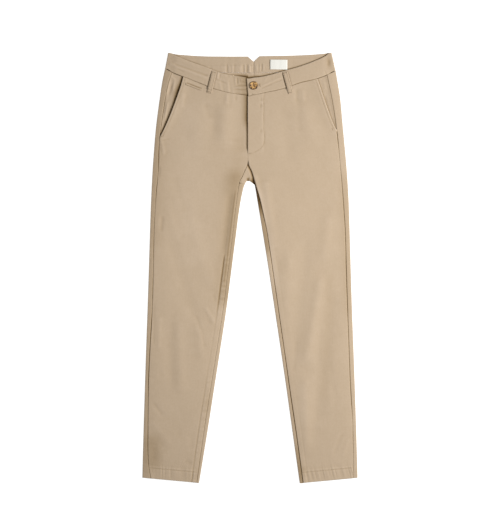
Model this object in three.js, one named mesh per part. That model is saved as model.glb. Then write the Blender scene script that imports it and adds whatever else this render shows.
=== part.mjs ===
// Slim chino trousers laid flat on their back, front up, waist towards +Y.
// Units are millimetres. X runs across the garment, Y up it, Z away from the surface it lies on.
// The origin is the middle of the outline, on that surface. "Right" and "left" are the wearer's,
// so the right leg is the one at negative X.
import * as THREE from "three";

// Driving dimensions.
const CLOTH = 1.2; // cotton twill with its seam allowances, as one wall
const BAND_WALL = 2.2; // waistband: outer cloth, interfacing and inner cloth
const SEAM_GAP = 0.3; // between any two pieces that are sewn together
const FOLD_RADIUS = 1.6; // outside of the soft fold at each edge of a leg
const BAND_FOLD_RADIUS = 2.4; // the same at each side of the waistband
const LOFT = 2.1; // how much higher the middle of a leg stands than its folded edge
const LOFT_REACH = 14; // how far in from an edge most of that height is reached
const HEM_DEPTH = 28;
const HEM_RISE = 0.5; // the turned-up hem is three layers of cloth
const CROTCH = 218; // Y of the crotch, where the legs part
const CENTRE_BACK = { top: 9, crotch: 3 }; // X of the centre back seam at waist and crotch
const NOTCH = { width: 29, foot: 0.68 }; // the V at centre back, from this share of the band's height
const FLY = { edge: -5.6, bottom: 292, lap: 8, rise: 0.5, width: 39, sink: 2.5, sinkReach: 32 };
const TAB = { end: -4.5, lean: 3.8, drop: 3, from: 14, reach: 20 }; // the buttoned end of the waistband
const UNDER_TAB = 29; // X to which the right waistband runs under it
const BUTTON = { x: 9.6, y: 455.3, diameter: 20.5, thickness: 3.2, round: 0.7, hole: 1.7, pitch: 2.7 };
const LOOP = { width: 12, thickness: 1.1, arch: 1.3 };
const BACK_LOOP = { spread: 30, ramp: 4 }; // each side of the centre back seam, under the waistband
const POCKET = { gape: 1.3, gapeReach: 17, foot: 14, facing: 1.0, tuck: 12, sink: 1.9, tail: 9 };
const EXTRA_GAPE = { right: 1.5, left: 0 }; // the right pocket stands open in the middle

// The side outline and the side seams: X at each height. The side seams show on the front, because
// the back panel rolls forward round the edge of each leg.
const SIDES = [
  { y: 540, rightOuter: -204.2, rightSeam: -186.0, leftSeam: 176.0, leftOuter: 203.6 },
  { y: 495, rightOuter: -213.0, rightSeam: -196.5, leftSeam: 188.5, leftOuter: 213.6 },
  { y: 465, rightOuter: -219.2, rightSeam: -205.5, leftSeam: 195.0, leftOuter: 219.0 },
  { y: 420, rightOuter: -226.0, rightSeam: -215.0, leftSeam: 205.2, leftOuter: 226.0 },
  { y: 370, rightOuter: -232.7, rightSeam: -221.6, leftSeam: 214.5, leftOuter: 230.6 },
  { y: 327, rightOuter: -237.2, rightSeam: -225.8, leftSeam: 221.2, leftOuter: 234.6 },
  { y: 245, rightOuter: -243.2, rightSeam: -229.3, leftSeam: 227.8, leftOuter: 242.0 },
  { y: 170, rightOuter: -247.0, rightSeam: -234.4, leftSeam: 232.6, leftOuter: 246.6 },
  { y: 95, rightOuter: -249.6, rightSeam: -237.8, leftSeam: 237.0, leftOuter: 249.1 },
  { y: -5, rightOuter: -252.7, rightSeam: -240.2, leftSeam: 242.0, leftOuter: 252.0 },
  { y: -105, rightOuter: -256.0, rightSeam: -243.2, leftSeam: 245.2, leftOuter: 255.1 },
  { y: -205, rightOuter: -259.6, rightSeam: -249.2, leftSeam: 248.4, leftOuter: 258.9 },
  { y: -305, rightOuter: -262.8, rightSeam: -253.4, leftSeam: 252.2, leftOuter: 262.4 },
  { y: -405, rightOuter: -265.9, rightSeam: -255.4, leftSeam: 256.8, leftOuter: 265.6 },
  { y: -480, rightOuter: -267.9, rightSeam: -254.8, leftSeam: 259.6, leftOuter: 267.8 },
  { y: -540, rightOuter: -269.3, rightSeam: -246.5, leftSeam: 261.0, leftOuter: 269.3 },
];
// The inner outline of each leg, below the crotch, and how far in from it the inseam lies.
const INNERS = [
  { y: 222, rightInner: -6.5, rightInset: 17.0, leftInner: 8.4, leftInset: 3.6 },
  { y: 207, rightInner: -13.9, rightInset: 14.0, leftInner: 11.8, leftInset: 4.9 },
  { y: 195, rightInner: -17.5, rightInset: 12.5, leftInner: 14.2, leftInset: 5.8 },
  { y: 170, rightInner: -22.8, rightInset: 10.5, leftInner: 18.3, leftInset: 7.6 },
  { y: 132, rightInner: -28.7, rightInset: 9.5, leftInner: 24.6, leftInset: 9.0 },
  { y: 95, rightInner: -33.4, rightInset: 9.0, leftInner: 30.8, leftInset: 10.4 },
  { y: 45, rightInner: -39.8, rightInset: 8.7, leftInner: 38.9, leftInset: 10.4 },
  { y: -5, rightInner: -46.2, rightInset: 8.7, leftInner: 46.8, leftInset: 9.6 },
  { y: -105, rightInner: -59.2, rightInset: 8.7, leftInner: 62.0, leftInset: 8.8 },
  { y: -205, rightInner: -74.4, rightInset: 8.9, leftInner: 77.0, leftInset: 8.2 },
  { y: -305, rightInner: -90.0, rightInset: 9.2, leftInner: 91.6, leftInset: 7.8 },
  { y: -405, rightInner: -105.6, rightInset: 9.2, leftInner: 105.6, leftInset: 8.6 },
  { y: -540, rightInner: -127.6, rightInset: 6.0, leftInner: 124.6, leftInset: 8.4 },
];
// From the crotch up to the fork, where the four seams meet, the inner edge of each front.
const FORK = [
  { y: 292, rightEdge: -5.3, leftEdge: -5.3 },
  { y: 270, rightEdge: -5.0, leftEdge: -5.0 },
  { y: 256, rightEdge: -7.2, leftEdge: -2.4 },
  { y: 243, rightEdge: -12.8, leftEdge: 4.8 },
  { y: 230, rightEdge: -18.6, leftEdge: 9.6 },
  { y: 222, rightEdge: -22.2, leftEdge: 12.0 },
];
// The edges of the waistband, front and back: Y at each X.
const WAIST = [
  { x: -214, frontTop: 540.0, frontSeam: 498.0, backTop: 537.6, backSeam: 498.0 },
  { x: -190, frontTop: 532.2, frontSeam: 488.4, backTop: 534.4, backSeam: 495.6 },
  { x: -150, frontTop: 515.8, frontSeam: 472.0, backTop: 531.0, backSeam: 492.4 },
  { x: -110, frontTop: 501.6, frontSeam: 455.8, backTop: 528.9, backSeam: 490.2 },
  { x: -70, frontTop: 486.4, frontSeam: 443.4, backTop: 528.5, backSeam: 489.0 },
  { x: -30, frontTop: 479.6, frontSeam: 435.4, backTop: 528.3, backSeam: 488.4 },
  { x: 5, frontTop: 475.6, frontSeam: 432.8, backTop: 528.6, backSeam: 488.0 },
  { x: 35, frontTop: 478.8, frontSeam: 436.6, backTop: 529.6, backSeam: 488.6 },
  { x: 85, frontTop: 492.4, frontSeam: 447.8, backTop: 530.4, backSeam: 489.4 },
  { x: 130, frontTop: 505.4, frontSeam: 464.8, backTop: 531.8, backSeam: 490.2 },
  { x: 175, frontTop: 523.0, frontSeam: 476.8, backTop: 534.6, backSeam: 491.2 },
  { x: 214, frontTop: 543.0, frontSeam: 492.6, backTop: 538.6, backSeam: 491.8 },
];
// The side fold of the waistband, at its top and bottom edge.
const BAND_SIDES = {
  right: { top: [-204.4, 537.5], low: [-212.3, 497.4] },
  left: { top: [204.0, 537.5], low: [214.2, 491.6] },
};
const SIDE_BLEND = 18; // over this length the front and back edges run into the side fold
// The hem of each leg, between its two corners.
const HEMS = {
  right: { outerX: -268.9, outerY: -523.8, innerX: -127.2, innerY: -536.8 },
  left: { outerX: 268.9, outerY: -524.0, innerX: 124.4, innerY: -537.5 },
};
// The slanted mouth of each front pocket, from the waistband down to the side seam.
const POCKETS = {
  right: [
    { y: 484, x: -168.4 },
    { y: 462, x: -175.6 },
    { y: 420, x: -189.4 },
    { y: 378, x: -203.4 },
    { y: 350, x: -214.6 },
    { y: 327, x: -225.4 },
  ],
  left: [
    { y: 484, x: 163.6 },
    { y: 462, x: 172.4 },
    { y: 420, x: 186.4 },
    { y: 390, x: 197.0 },
    { y: 362, x: 207.8 },
    { y: 341, x: 218.6 },
  ],
};
// Top of the waistband above the surface, along its length.
const BAND_HEIGHTS = {
  right: [
    { x: -200, z: 5.0 },
    { x: -180, z: 6.2 },
    { x: -100, z: 6.5 },
    { x: -55, z: 5.3 },
    { x: -18, z: 4.0 },
    { x: 30, z: 3.8 },
  ],
  left: [
    { x: -10, z: 6.6 },
    { x: 40, z: 6.7 },
    { x: 120, z: 6.5 },
    { x: 180, z: 6.2 },
    { x: 200, z: 5.0 },
  ],
};
// Small straight pieces, each along a line from one end to the other: the front belt loops from
// below the waistband to its top, the welt of the coin pocket by its upper edge, and the label.
const FRONT_LOOPS = {
  right: { from: [-101.8, 437.0], to: [-89.0, 490.5] },
  left: { from: [102.0, 436.0], to: [87.3, 489.3] },
};
const WELT = { from: [-158.5, 462.4], to: [-122.5, 448.4], width: 5, thickness: 0.7 };
const LABEL = { from: [50.3, 508.3], to: [93.3, 507.8], width: 24.5, thickness: 0.7 };
// The largest soft folds: a ridge, or a trough where height is negative, along a line.
const FOLDS = [
  { x1: -60, y1: 425, x2: -66, y2: 290, width: 19, height: 0.9 },
  { x1: -88, y1: 420, x2: -92, y2: 310, width: 14, height: -0.6 },
  { x1: -140, y1: 400, x2: -120, y2: 250, width: 24, height: 0.5 },
  { x1: -30, y1: 205, x2: -56, y2: 20, width: 8, height: 0.9 },
  { x1: -46, y1: 205, x2: -68, y2: 20, width: 11, height: -0.9 },
  { x1: -165, y1: 150, x2: -90, y2: -60, width: 20, height: 0.5 },
  { x1: -205, y1: 90, x2: -130, y2: -150, width: 18, height: -0.5 },
  { x1: -205, y1: -110, x2: -196, y2: -300, width: 15, height: -0.6 },
  { x1: -180, y1: -130, x2: -170, y2: -330, width: 14, height: 0.5 },
  { x1: -130, y1: -120, x2: -118, y2: -250, width: 13, height: 0.5 },
  { x1: 202, y1: 150, x2: 180, y2: -5, width: 17, height: 0.8 },
  { x1: 180, y1: -5, x2: 137, y2: -255, width: 15, height: 1.2 },
  { x1: 137, y1: -255, x2: 141, y2: -475, width: 14, height: 0.9 },
  { x1: 142, y1: 80, x2: 104, y2: -240, width: 18, height: -0.8 },
  { x1: 208, y1: -50, x2: 168, y2: -400, width: 19, height: -0.8 },
  { x1: 98, y1: 60, x2: 88, y2: -120, width: 14, height: 0.5 },
  { x1: 130, y1: 420, x2: 165, y2: 290, width: 20, height: 0.6 },
  { x1: 85, y1: 420, x2: 100, y2: 250, width: 22, height: -0.6 },
];
const FOLD_END = 40; // a fold fades out over this length at each end
const OVERHANG = { low: 92, high: 130, top: 262, rise: 1.9, reach: 11 }; // left front over its inseam
const TONGUE = { low: 150, rise: 41 }; // right back, brought forward and up between the fronts
const SHORTEST_STRIP = 0.6;

// Row spacing down the panels: close at the fly and crotch, and at the hem.
const PANEL_ROWS = [
  { until: 0.15, count: 7 },
  { until: 0.22, count: 5 },
  { until: 0.3, count: 8 },
  { until: 0.4, count: 5 },
  { until: 0.962, count: 13 },
  { until: 1, count: 3 },
];
const FRONT_COLUMNS = 12;
const FLAT_COLUMNS = 3;
const FOLD_STEPS = 3;
const TWIST_ROWS = 3; // rows over which the back panel turns from flat to rolled at the crotch
const TWIST_LENGTH = 7;
const ROW_CLEAR = 0.008; // other rows keep this share of the length clear of those

const mix = (a, b, t) => a + (b - a) * t;
const clamp01 = (t) => Math.min(1, Math.max(0, t));
const ease = (t) => clamp01(t) ** 2 * (3 - 2 * clamp01(t));

// A smooth curve through one column of a table, against another of its columns.
function curve(table, key, value) {
  const rows = [...table].sort((a, b) => a[key] - b[key]);
  const last = rows.length - 1;
  const slope = rows.map((_, i) => {
    const a = rows[Math.max(i - 1, 0)];
    const b = rows[Math.min(i + 1, last)];
    return (b[value] - a[value]) / (b[key] - a[key]);
  });
  return (at) => {
    let i = 0;
    while (i < last - 1 && at > rows[i + 1][key]) i += 1;
    const a = rows[i];
    const b = rows[i + 1];
    const span = b[key] - a[key];
    const t = clamp01((at - a[key]) / span);
    const u = 1 - t;
    return (
      a[value] * (1 + 2 * t) * u * u +
      b[value] * (3 - 2 * t) * t * t +
      slope[i] * span * t * u * u -
      slope[i + 1] * span * t * t * u
    );
  };
}

const waist = {
  frontTop: curve(WAIST, "x", "frontTop"),
  frontSeam: curve(WAIST, "x", "frontSeam"),
  backTop: curve(WAIST, "x", "backTop"),
  backSeam: curve(WAIST, "x", "backSeam"),
};
const centreBack = (y) =>
  mix(CENTRE_BACK.crotch, CENTRE_BACK.top, clamp01((y - CROTCH) / (waist.backSeam(0) - CROTCH)));

// An edge of the waistband that runs into its side fold, and one that drops to the tab's end.
const toSide = (edge, [sideX, sideY]) => (x) =>
  mix(sideY, edge(x), ease(Math.abs(x - sideX) / SIDE_BLEND));
const toTab = (edge) => (x) => edge(x) - TAB.drop * ease((TAB.from - x) / TAB.reach);

// One leg's edges in plan. inward is the direction from the outer edge to the middle.
function makeSide(name, inward) {
  const inner = curve(INNERS, "y", name + "Inner");
  const inset = curve(INNERS, "y", name + "Inset");
  const fork = curve(FORK, "y", name + "Edge");
  const hem = HEMS[name];
  const { top, low } = BAND_SIDES[name];
  const closing = name === "left" ? toTab : (edge) => edge;
  return {
    name,
    inward,
    frontTop: toSide(closing(waist.frontTop), top),
    backTop: toSide(waist.backTop, top),
    frontSeam: toSide(closing(waist.frontSeam), low),
    backSeam: toSide(waist.backSeam, low),
    outer: curve(SIDES, "y", name + "Outer"),
    seam: curve(SIDES, "y", name + "Seam"),
    inner,
    inseam: (y) => (y > INNERS[0].y ? fork(y) : inner(y) - inward * inset(y)),
    pocket: curve(POCKETS[name], "y", "x"),
    pocketFoot: POCKETS[name][POCKETS[name].length - 1].y,
    pocketHead: POCKETS[name][0].y,
    hemY: (x) => mix(hem.outerY, hem.innerY, (x - hem.outerX) / (hem.innerX - hem.outerX)),
    bandHeight: curve(BAND_HEIGHTS[name], "x", "z"),
  };
}
const right = makeSide("right", 1);
const left = makeSide("left", -1);

// Height that the soft folds add at a point.
function foldHeight(x, y) {
  return FOLDS.reduce((sum, f) => {
    const dx = f.x2 - f.x1;
    const dy = f.y2 - f.y1;
    const length = Math.hypot(dx, dy);
    const along = ((x - f.x1) * dx + (y - f.y1) * dy) / length;
    const across = ((x - f.x1) * dy - (y - f.y1) * dx) / length;
    const ends = ease(along / FOLD_END) * ease((length - along) / FOLD_END);
    return sum + f.height * ends * Math.exp(-((across / f.width) ** 2));
  }, 0);
}

// Distance in from the outer edge, and from the inner edge or the crotch.
const fromOuter = (side, x, y) => Math.max(0, side.inward * (x - side.outer(y)) - FOLD_RADIUS);
function fromInner(side, x, y) {
  const top = INNERS[0].y;
  const across = side.inward * (side.inner(Math.min(y, top)) - x);
  const up = Math.max(0, y - top);
  return Math.max(0, Math.hypot(Math.max(0, across), up) - FOLD_RADIUS);
}

// The upper surface of the garment as it lies, without what is particular to one piece.
function upperSurface(side, x, y) {
  const a = 1 - Math.exp(-fromOuter(side, x, y) / LOFT_REACH);
  const b = 1 - Math.exp(-fromInner(side, x, y) / LOFT_REACH);
  const aboveHem = y - side.hemY(x);
  const hemFlat = 1 - 0.45 * Math.exp(-Math.max(0, aboveHem) / 45);
  const hem = HEM_RISE * ease((HEM_DEPTH - aboveHem) / 3 + 0.5);
  return 2 * FOLD_RADIUS + (LOFT * hemFlat + foldHeight(x, y)) * a * b + hem;
}

// The front panels: lifted at the pocket mouth, sunk or raised at the fly.
function frontSurface(side, x, y) {
  let z = upperSurface(side, x, y);
  const down = clamp01((side.pocketHead - y) / (side.pocketHead - side.pocketFoot));
  const gape = POCKET.gape + EXTRA_GAPE[side.name] * Math.sin(Math.PI * down);
  const mouth = Math.max(0, side.inward * (x - side.pocket(Math.max(y, side.pocketFoot))));
  const below = Math.max(0, side.pocketFoot - y) / POCKET.foot;
  z += gape * Math.exp(-((mouth / POCKET.gapeReach) ** 2) - below ** 2);
  const fly = ease((y - FLY.bottom + 14) / 26);
  const fromFly = Math.abs(x - FLY.edge);
  const beyondLap = Math.max(0, fromFly - FLY.lap - 1);
  if (side === right) z -= FLY.sink * fly * Math.exp(-((beyondLap / FLY.sinkReach) ** 2));
  else z += FLY.rise * fly * ease((FLY.width - fromFly) / 4 + 0.5);
  if (side === left) {
    const along = ease((y - OVERHANG.low) / (OVERHANG.high - OVERHANG.low));
    const fade = ease((OVERHANG.top - y) / 12);
    z += OVERHANG.rise * along * fade * Math.exp(-((fromInner(side, x, y) / OVERHANG.reach) ** 2));
  }
  return z;
}

// The back of the waistband is lifted over the belt loop that lies beside the centre back seam.
const backLoopX = (side) => CENTRE_BACK.top - side.inward * BACK_LOOP.spread;
function overBackLoop(side, x) {
  const clear = LOOP.width / 2 + 0.5 + BACK_LOOP.ramp - Math.abs(x - backLoopX(side));
  return (LOOP.thickness + SEAM_GAP) * clamp01(clear / BACK_LOOP.ramp);
}

// A closed wall between two grids of points: the outside of the cloth and its inside.
function wall(outside, inside) {
  const rows = outside.length;
  const columns = outside[0].length;
  const points = [...outside.flat(), ...inside.flat()].flat();
  const out = (i, j) => i * columns + j;
  const back = (i, j) => rows * columns + out(i, j);
  const faces = [];
  const quad = (a, b, c, d) => faces.push(a, b, c, a, c, d);
  for (let i = 0; i < rows - 1; i += 1) {
    for (let j = 0; j < columns - 1; j += 1) {
      quad(out(i, j), out(i, j + 1), out(i + 1, j + 1), out(i + 1, j));
      quad(back(i, j), back(i + 1, j), back(i + 1, j + 1), back(i, j + 1));
    }
    quad(out(i, 0), out(i + 1, 0), back(i + 1, 0), back(i, 0));
    quad(out(i + 1, columns - 1), out(i, columns - 1), back(i, columns - 1), back(i + 1, columns - 1));
  }
  for (let j = 0; j < columns - 1; j += 1) {
    quad(out(0, j + 1), out(0, j), back(0, j), back(0, j + 1));
    quad(out(rows - 1, j), out(rows - 1, j + 1), back(rows - 1, j + 1), back(rows - 1, j));
  }
  return closedGeometry(points, faces);
}

// A geometry from points and faces, turned so that its faces point out.
function closedGeometry(points, faces) {
  const at = (i) => new THREE.Vector3().fromArray(points, 3 * i);
  let volume = 0;
  for (let i = 0; i < faces.length; i += 3) {
    volume += at(faces[i]).dot(at(faces[i + 1]).cross(at(faces[i + 2])));
  }
  if (volume < 0) faces.reverse();
  const geometry = new THREE.BufferGeometry();
  geometry.setAttribute("position", new THREE.Float32BufferAttribute(points, 3));
  geometry.setIndex(faces);
  geometry.computeVertexNormals();
  return geometry;
}

// A wall over a plan grid, from its top height and its thickness.
function panelWall(plan, height, thickness) {
  const top = plan.map((row) => row.map(([x, y]) => [x, y, height(x, y)]));
  return wall(top, top.map((row) => row.map(([x, y, z]) => [x, y, z - thickness])));
}

// Shares of the way from waist to hem at which the rows lie.
const rowShares = PANEL_ROWS.reduce(
  (shares, { until, count }) => {
    const from = shares[shares.length - 1];
    return [...shares, ...Array.from({ length: count }, (_, i) => mix(from, until, (i + 1) / count))];
  },
  [0],
);
const spaced = (count) => Array.from({ length: count }, (_, i) => i / (count - 1));

// The point where a row that runs from a top line to the hem meets an edge of the panel.
function rowEnd(side, top, edge, share) {
  let y = mix(480, -530, share);
  for (let i = 0; i < 12; i += 1) y = mix(top(edge(y)), side.hemY(edge(y)), share);
  return [edge(y), y];
}

// Front panel: from the pocket mouth and side seam to the fly, the fork and the inseam.
function frontPanel(side) {
  const top = (x) => side.frontSeam(x) - SEAM_GAP;
  const outerEdge = (y) =>
    (y > side.pocketFoot ? side.pocket(y) : side.seam(y)) + (side.inward * SEAM_GAP) / 2;
  const innerEdge = (y) => {
    if (y < FORK[0].y) return side.inseam(y) - (side.inward * SEAM_GAP) / 2;
    if (side === left) return FLY.edge;
    return FLY.edge - SEAM_GAP + FLY.lap * ease((y - FLY.bottom - 14) / 12);
  };
  const plan = rowShares.map((share) => {
    const [x0, y0] = rowEnd(side, top, outerEdge, share);
    const [x1, y1] = rowEnd(side, top, innerEdge, share);
    return spaced(FRONT_COLUMNS).map((t) => {
      const x = mix(x0, x1, t);
      const straight = mix(y0, y1, t);
      return [x, Math.abs(x0 - x1) < 1 ? straight : mix(top(x), side.hemY(x), share)];
    });
  });
  return panelWall(plan, (x, y) => frontSurface(side, x, y), CLOTH);
}

// Points of the cloth rolled round an edge: turn is 1 for a full roll and 0 for flat.
function rolled(edgeX, y, inward, radius, thickness, turn) {
  const middle = edgeX + inward * radius;
  return Array.from({ length: FOLD_STEPS + 1 }, (_, i) => {
    const angle = (Math.PI * turn * i) / FOLD_STEPS;
    const reach = (r) => [middle - inward * r * Math.sin(angle), y, radius - r * Math.cos(angle)];
    return { out: reach(radius), in: reach(radius - thickness) };
  });
}

// The strip of a back panel that shows on the front, beside a seam.
function strip(side, from, to, shares) {
  return shares.map((t) => {
    const x = mix(from[0], to[0], t);
    const y = mix(from[1], to[1], t);
    const z = upperSurface(side, x, y);
    return { out: [x, y, z], in: [x, y, z - CLOTH] };
  });
}

// Back panel: flat underneath, rolled forward round the outer edge to the side seam and, below the
// crotch, round the inner edge to the inseam.
function backPanel(side) {
  const { inward } = side;
  const backTop = (x) => side.backSeam(x) - SEAM_GAP;
  const frontTop = (x) => side.frontSeam(x) - SEAM_GAP;
  const flatShares = spaced(FLAT_COLUMNS + 2).slice(1, -1);
  const stripShares = [0.5, 1];
  const crotchX = side.inner(CROTCH);
  const split = (CROTCH - backTop(crotchX)) / (side.hemY(crotchX) - backTop(crotchX));
  const twist = TWIST_LENGTH / (backTop(crotchX) - side.hemY(crotchX));
  const twistRows = spaced(TWIST_ROWS + 2).map((turn) => ({ share: split + twist * turn, turn }));
  const rows = [
    ...rowShares.filter((s) => s < split - ROW_CLEAR).map((share) => ({ share, turn: 0 })),
    ...twistRows,
    ...rowShares.filter((s) => s > split + twist + ROW_CLEAR).map((share) => ({ share, turn: 1 })),
  ];
  const section = ({ share, turn }) => {
    const [outerX, outerY] = rowEnd(side, frontTop, side.outer, share);
    const seamEdge = (y) => side.seam(y) - (inward * SEAM_GAP) / 2;
    const seamEnd = rowEnd(side, frontTop, seamEdge, share);
    const start = [outerX + inward * FOLD_RADIUS, outerY];
    const outerStrip = strip(side, start, seamEnd, stripShares).reverse();
    const outerFold = rolled(outerX, outerY, inward, FOLD_RADIUS, CLOTH, 1).reverse();
    const flatEdge = turn === 0 ? (y) => centreBack(y) - (inward * SEAM_GAP) / 2 : side.inner;
    const [endX, endY] = rowEnd(side, backTop, flatEdge, share);
    const limit = turn === 0 ? side.inner(Math.min(endY, CROTCH)) : endX;
    const flatEnd = limit - inward * FOLD_RADIUS;
    const flat = flatShares.map((t) => {
      const x = mix(start[0], flatEnd, t);
      const y = mix(outerY, mix(backTop(x), side.hemY(x), share), ease(t * 6));
      return { out: [x, y, 0], in: [x, y, CLOTH] };
    });
    const points = [...outerStrip, ...outerFold, ...flat];
    if (turn === 0) {
      const steps = FOLD_STEPS + 1 + stripShares.length;
      for (let i = 0; i < steps; i += 1) {
        const x = mix(flatEnd, endX, i / (steps - 1));
        const y = mix(backTop(x), side.hemY(x), share);
        points.push({ out: [x, y, 0], in: [x, y, CLOTH] });
      }
      return points;
    }
    const fold = rolled(endX, endY, -inward, FOLD_RADIUS, CLOTH, turn);
    const last = fold[FOLD_STEPS];
    points.push(...fold);
    if (turn < 1) {
      const angle = Math.PI * turn;
      const along = [inward * Math.cos(angle), 0, Math.sin(angle)];
      stripShares.forEach((t) => {
        const move = (p) => p.map((v, k) => v + along[k] * SHORTEST_STRIP * t);
        points.push({ out: move(last.out), in: move(last.in) });
      });
      return points;
    }
    const nearCrotch = ease((endY - TONGUE.low) / (CROTCH - TWIST_LENGTH - TONGUE.low));
    const tongue = side === right ? nearCrotch : 0;
    const topY = endY + TONGUE.rise * tongue;
    const inseamX = side.inseam(topY) + (inward * SEAM_GAP) / 2;
    const shortest = last.out[0] - inward * SHORTEST_STRIP;
    const stripX = tongue > 0 || inward * (shortest - inseamX) > 0 ? inseamX : shortest;
    points.push(...strip(side, [last.out[0], endY], [stripX, topY], stripShares));
    return points;
  };
  const sections = rows.map(section);
  return wall(
    sections.map((row) => row.map((p) => p.out)),
    sections.map((row) => row.map((p) => p.in)),
  );
}

// Half of the waistband: on top at the front, folded round the side, and flat underneath at the back
// as far as the centre back seam, with its half of the V notch.
function waistband(side) {
  const { inward } = side;
  const frontEnd = side === right ? () => UNDER_TAB : (t) => TAB.end - TAB.lean * t;
  const backEnd = (t) => {
    const notched = Math.max(0, (t - NOTCH.foot) / (1 - NOTCH.foot)) * (NOTCH.width / 2);
    return CENTRE_BACK.top - inward * (SEAM_GAP / 2 + notched);
  };
  const { top, low } = BAND_SIDES[side.name];
  const loopEdges = [1, 0].map((ramp) => LOOP.width / 2 + 0.5 + ramp * BACK_LOOP.ramp);
  const loopXs = [...loopEdges.map((d) => -inward * d), ...loopEdges.reverse().map((d) => inward * d)];
  const section = (t) => {
    const edgeX = mix(low[0], top[0], t);
    const edgeY = mix(low[1], top[1], t);
    const foldX = edgeX + inward * BAND_FOLD_RADIUS;
    const frontY = (x) => mix(side.frontSeam(x), side.frontTop(x), t);
    const backY = (x) => mix(side.backSeam(x), side.backTop(x), t);
    const front = spaced(20).slice(0, -1).map((s) => {
      const x = mix(frontEnd(t), foldX, s);
      const z = mix(2 * BAND_FOLD_RADIUS, side.bandHeight(x), ease(Math.abs(x - foldX) / 24));
      return { out: [x, frontY(x), z], in: [x, frontY(x), z - BAND_WALL] };
    });
    const fold = rolled(edgeX, edgeY, inward, BAND_FOLD_RADIUS, BAND_WALL, 1).reverse();
    const beforeLoop = backLoopX(side) + loopXs[0];
    const across = spaced(14).slice(1, -1).map((s) => mix(foldX, beforeLoop, s));
    const back = [...across, ...loopXs.map((d) => backLoopX(side) + d), backEnd(t)].map((x) => {
      const z = overBackLoop(side, x);
      return { out: [x, backY(x), z], in: [x, backY(x), z + BAND_WALL] };
    });
    return [...front, ...fold, ...back];
  };
  const sections = [0, NOTCH.foot / 2, NOTCH.foot, 1].map(section);
  return wall(
    sections.map((row) => row.map((p) => p.out)),
    sections.map((row) => row.map((p) => p.in)),
  );
}

// The cloth that shows inside a pocket mouth: sewn to the side seam, and tucked under the front.
function pocketFacing(side) {
  const { inward } = side;
  const top = (x) => side.frontSeam(x) - SEAM_GAP;
  const foot = side.pocketFoot + POCKET.tail;
  const seamEdge = (y) => side.seam(y) + (inward * SEAM_GAP) / 2;
  const headY = top(seamEdge(490));
  const plan = spaced(11).map((t) => {
    const y0 = mix(headY, foot, t);
    const x0 = seamEdge(y0);
    const tuck = POCKET.tuck * (1 - ease(2 * t - 1.1));
    const y1 = mix(top(side.pocket(480) + inward * POCKET.tuck), foot, t);
    const x1 = x0 + inward * (Math.max(inward * (side.pocket(y1) - x0), 1.5) + tuck);
    return spaced(6).map((s) => {
      const x = mix(x0, x1, s);
      return [x, Math.min(mix(y0, y1, s), top(x))];
    });
  });
  const height = (x, y) => {
    const fromSeam = Math.max(0, inward * (x - seamEdge(y)));
    const level = upperSurface(side, x, y) - POCKET.sink * (1 - Math.exp(-fromSeam / 3.5));
    return level - 0.3 * ease((side.pocketFoot + 30 - y) / 20);
  };
  return panelWall(plan, height, POCKET.facing);
}

// Height of whatever lies on top of the garment at a point, waistband or front.
function topOfGarment(side, x, y) {
  return Math.max(side.bandHeight(x) * ease((y - side.frontSeam(x) + 1) / 2), frontSurface(side, x, y));
}

// Plan of a straight piece: rows along its line, columns across it from low to high on its right.
function straightPlan({ from, to }, low, high, rows, columns) {
  const [dx, dy] = [to[0] - from[0], to[1] - from[1]];
  const length = Math.hypot(dx, dy);
  return spaced(rows).map((t) =>
    spaced(columns).map((s) => {
      const across = mix(low, high, s) / length;
      return [mix(from[0], to[0], t) + across * dy, mix(from[1], to[1], t) - across * dx];
    }),
  );
}

// A belt loop: a folded strip, stitched down at both ends and arched between them.
function frontLoop(side) {
  const loop = FRONT_LOOPS[side.name];
  const plan = straightPlan(loop, -LOOP.width / 2, LOOP.width / 2, 12, 3);
  const height = (x, y) => {
    const along = clamp01((y - loop.from[1]) / (loop.to[1] - loop.from[1]));
    const below = Math.max(...[-6, 0, 6].map((d) => topOfGarment(side, x, y + d)));
    return below + SEAM_GAP + LOOP.thickness + LOOP.arch * Math.sin(Math.PI * along) ** 0.7;
  };
  return panelWall(plan, height, LOOP.thickness);
}

// A belt loop beside the centre back seam, flat underneath the waistband.
function backLoop(side) {
  const plan = spaced(3).map((t) =>
    spaced(3).map((s) => {
      const x = backLoopX(side) + (s - 0.5) * LOOP.width;
      return [x, mix(side.backSeam(x), side.backTop(x) - 0.5, t)];
    }),
  );
  return panelWall(plan, () => LOOP.thickness, LOOP.thickness);
}

// The welt of the small coin pocket, under the waistband on the right.
function coinPocketWelt() {
  const raise = SEAM_GAP + 0.1 + WELT.thickness;
  const plan = straightPlan(WELT, 0, WELT.width, 7, 3);
  return panelWall(plan, (x, y) => frontSurface(right, x, y) + raise, WELT.thickness);
}

// The plain woven label inside the back of the waistband.
function labelSheet() {
  const plan = straightPlan(LABEL, -LABEL.width / 2, LABEL.width / 2, 4, 3);
  return panelWall(plan, () => BAND_WALL + SEAM_GAP + LABEL.thickness, LABEL.thickness);
}

// A four-hole button: a disc with a rounded edge, extruded with its holes.
function buttonDisc() {
  const disc = new THREE.Shape();
  disc.absarc(0, 0, BUTTON.diameter / 2 - BUTTON.round, 0, 2 * Math.PI);
  for (let i = 0; i < 4; i += 1) {
    const angle = Math.PI / 4 + (i * Math.PI) / 2;
    const hole = new THREE.Path();
    const [x, y] = [BUTTON.pitch * Math.cos(angle), BUTTON.pitch * Math.sin(angle)];
    hole.absarc(x, y, BUTTON.hole, 0, 2 * Math.PI, true);
    disc.holes.push(hole);
  }
  const { round } = BUTTON;
  return new THREE.ExtrudeGeometry(disc, {
    depth: BUTTON.thickness - 2 * round,
    curveSegments: 7,
    bevelThickness: round,
    bevelSize: round,
    bevelSegments: 2,
  }).translate(BUTTON.x, BUTTON.y, left.bandHeight(BUTTON.x) + SEAM_GAP + round);
}

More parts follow.
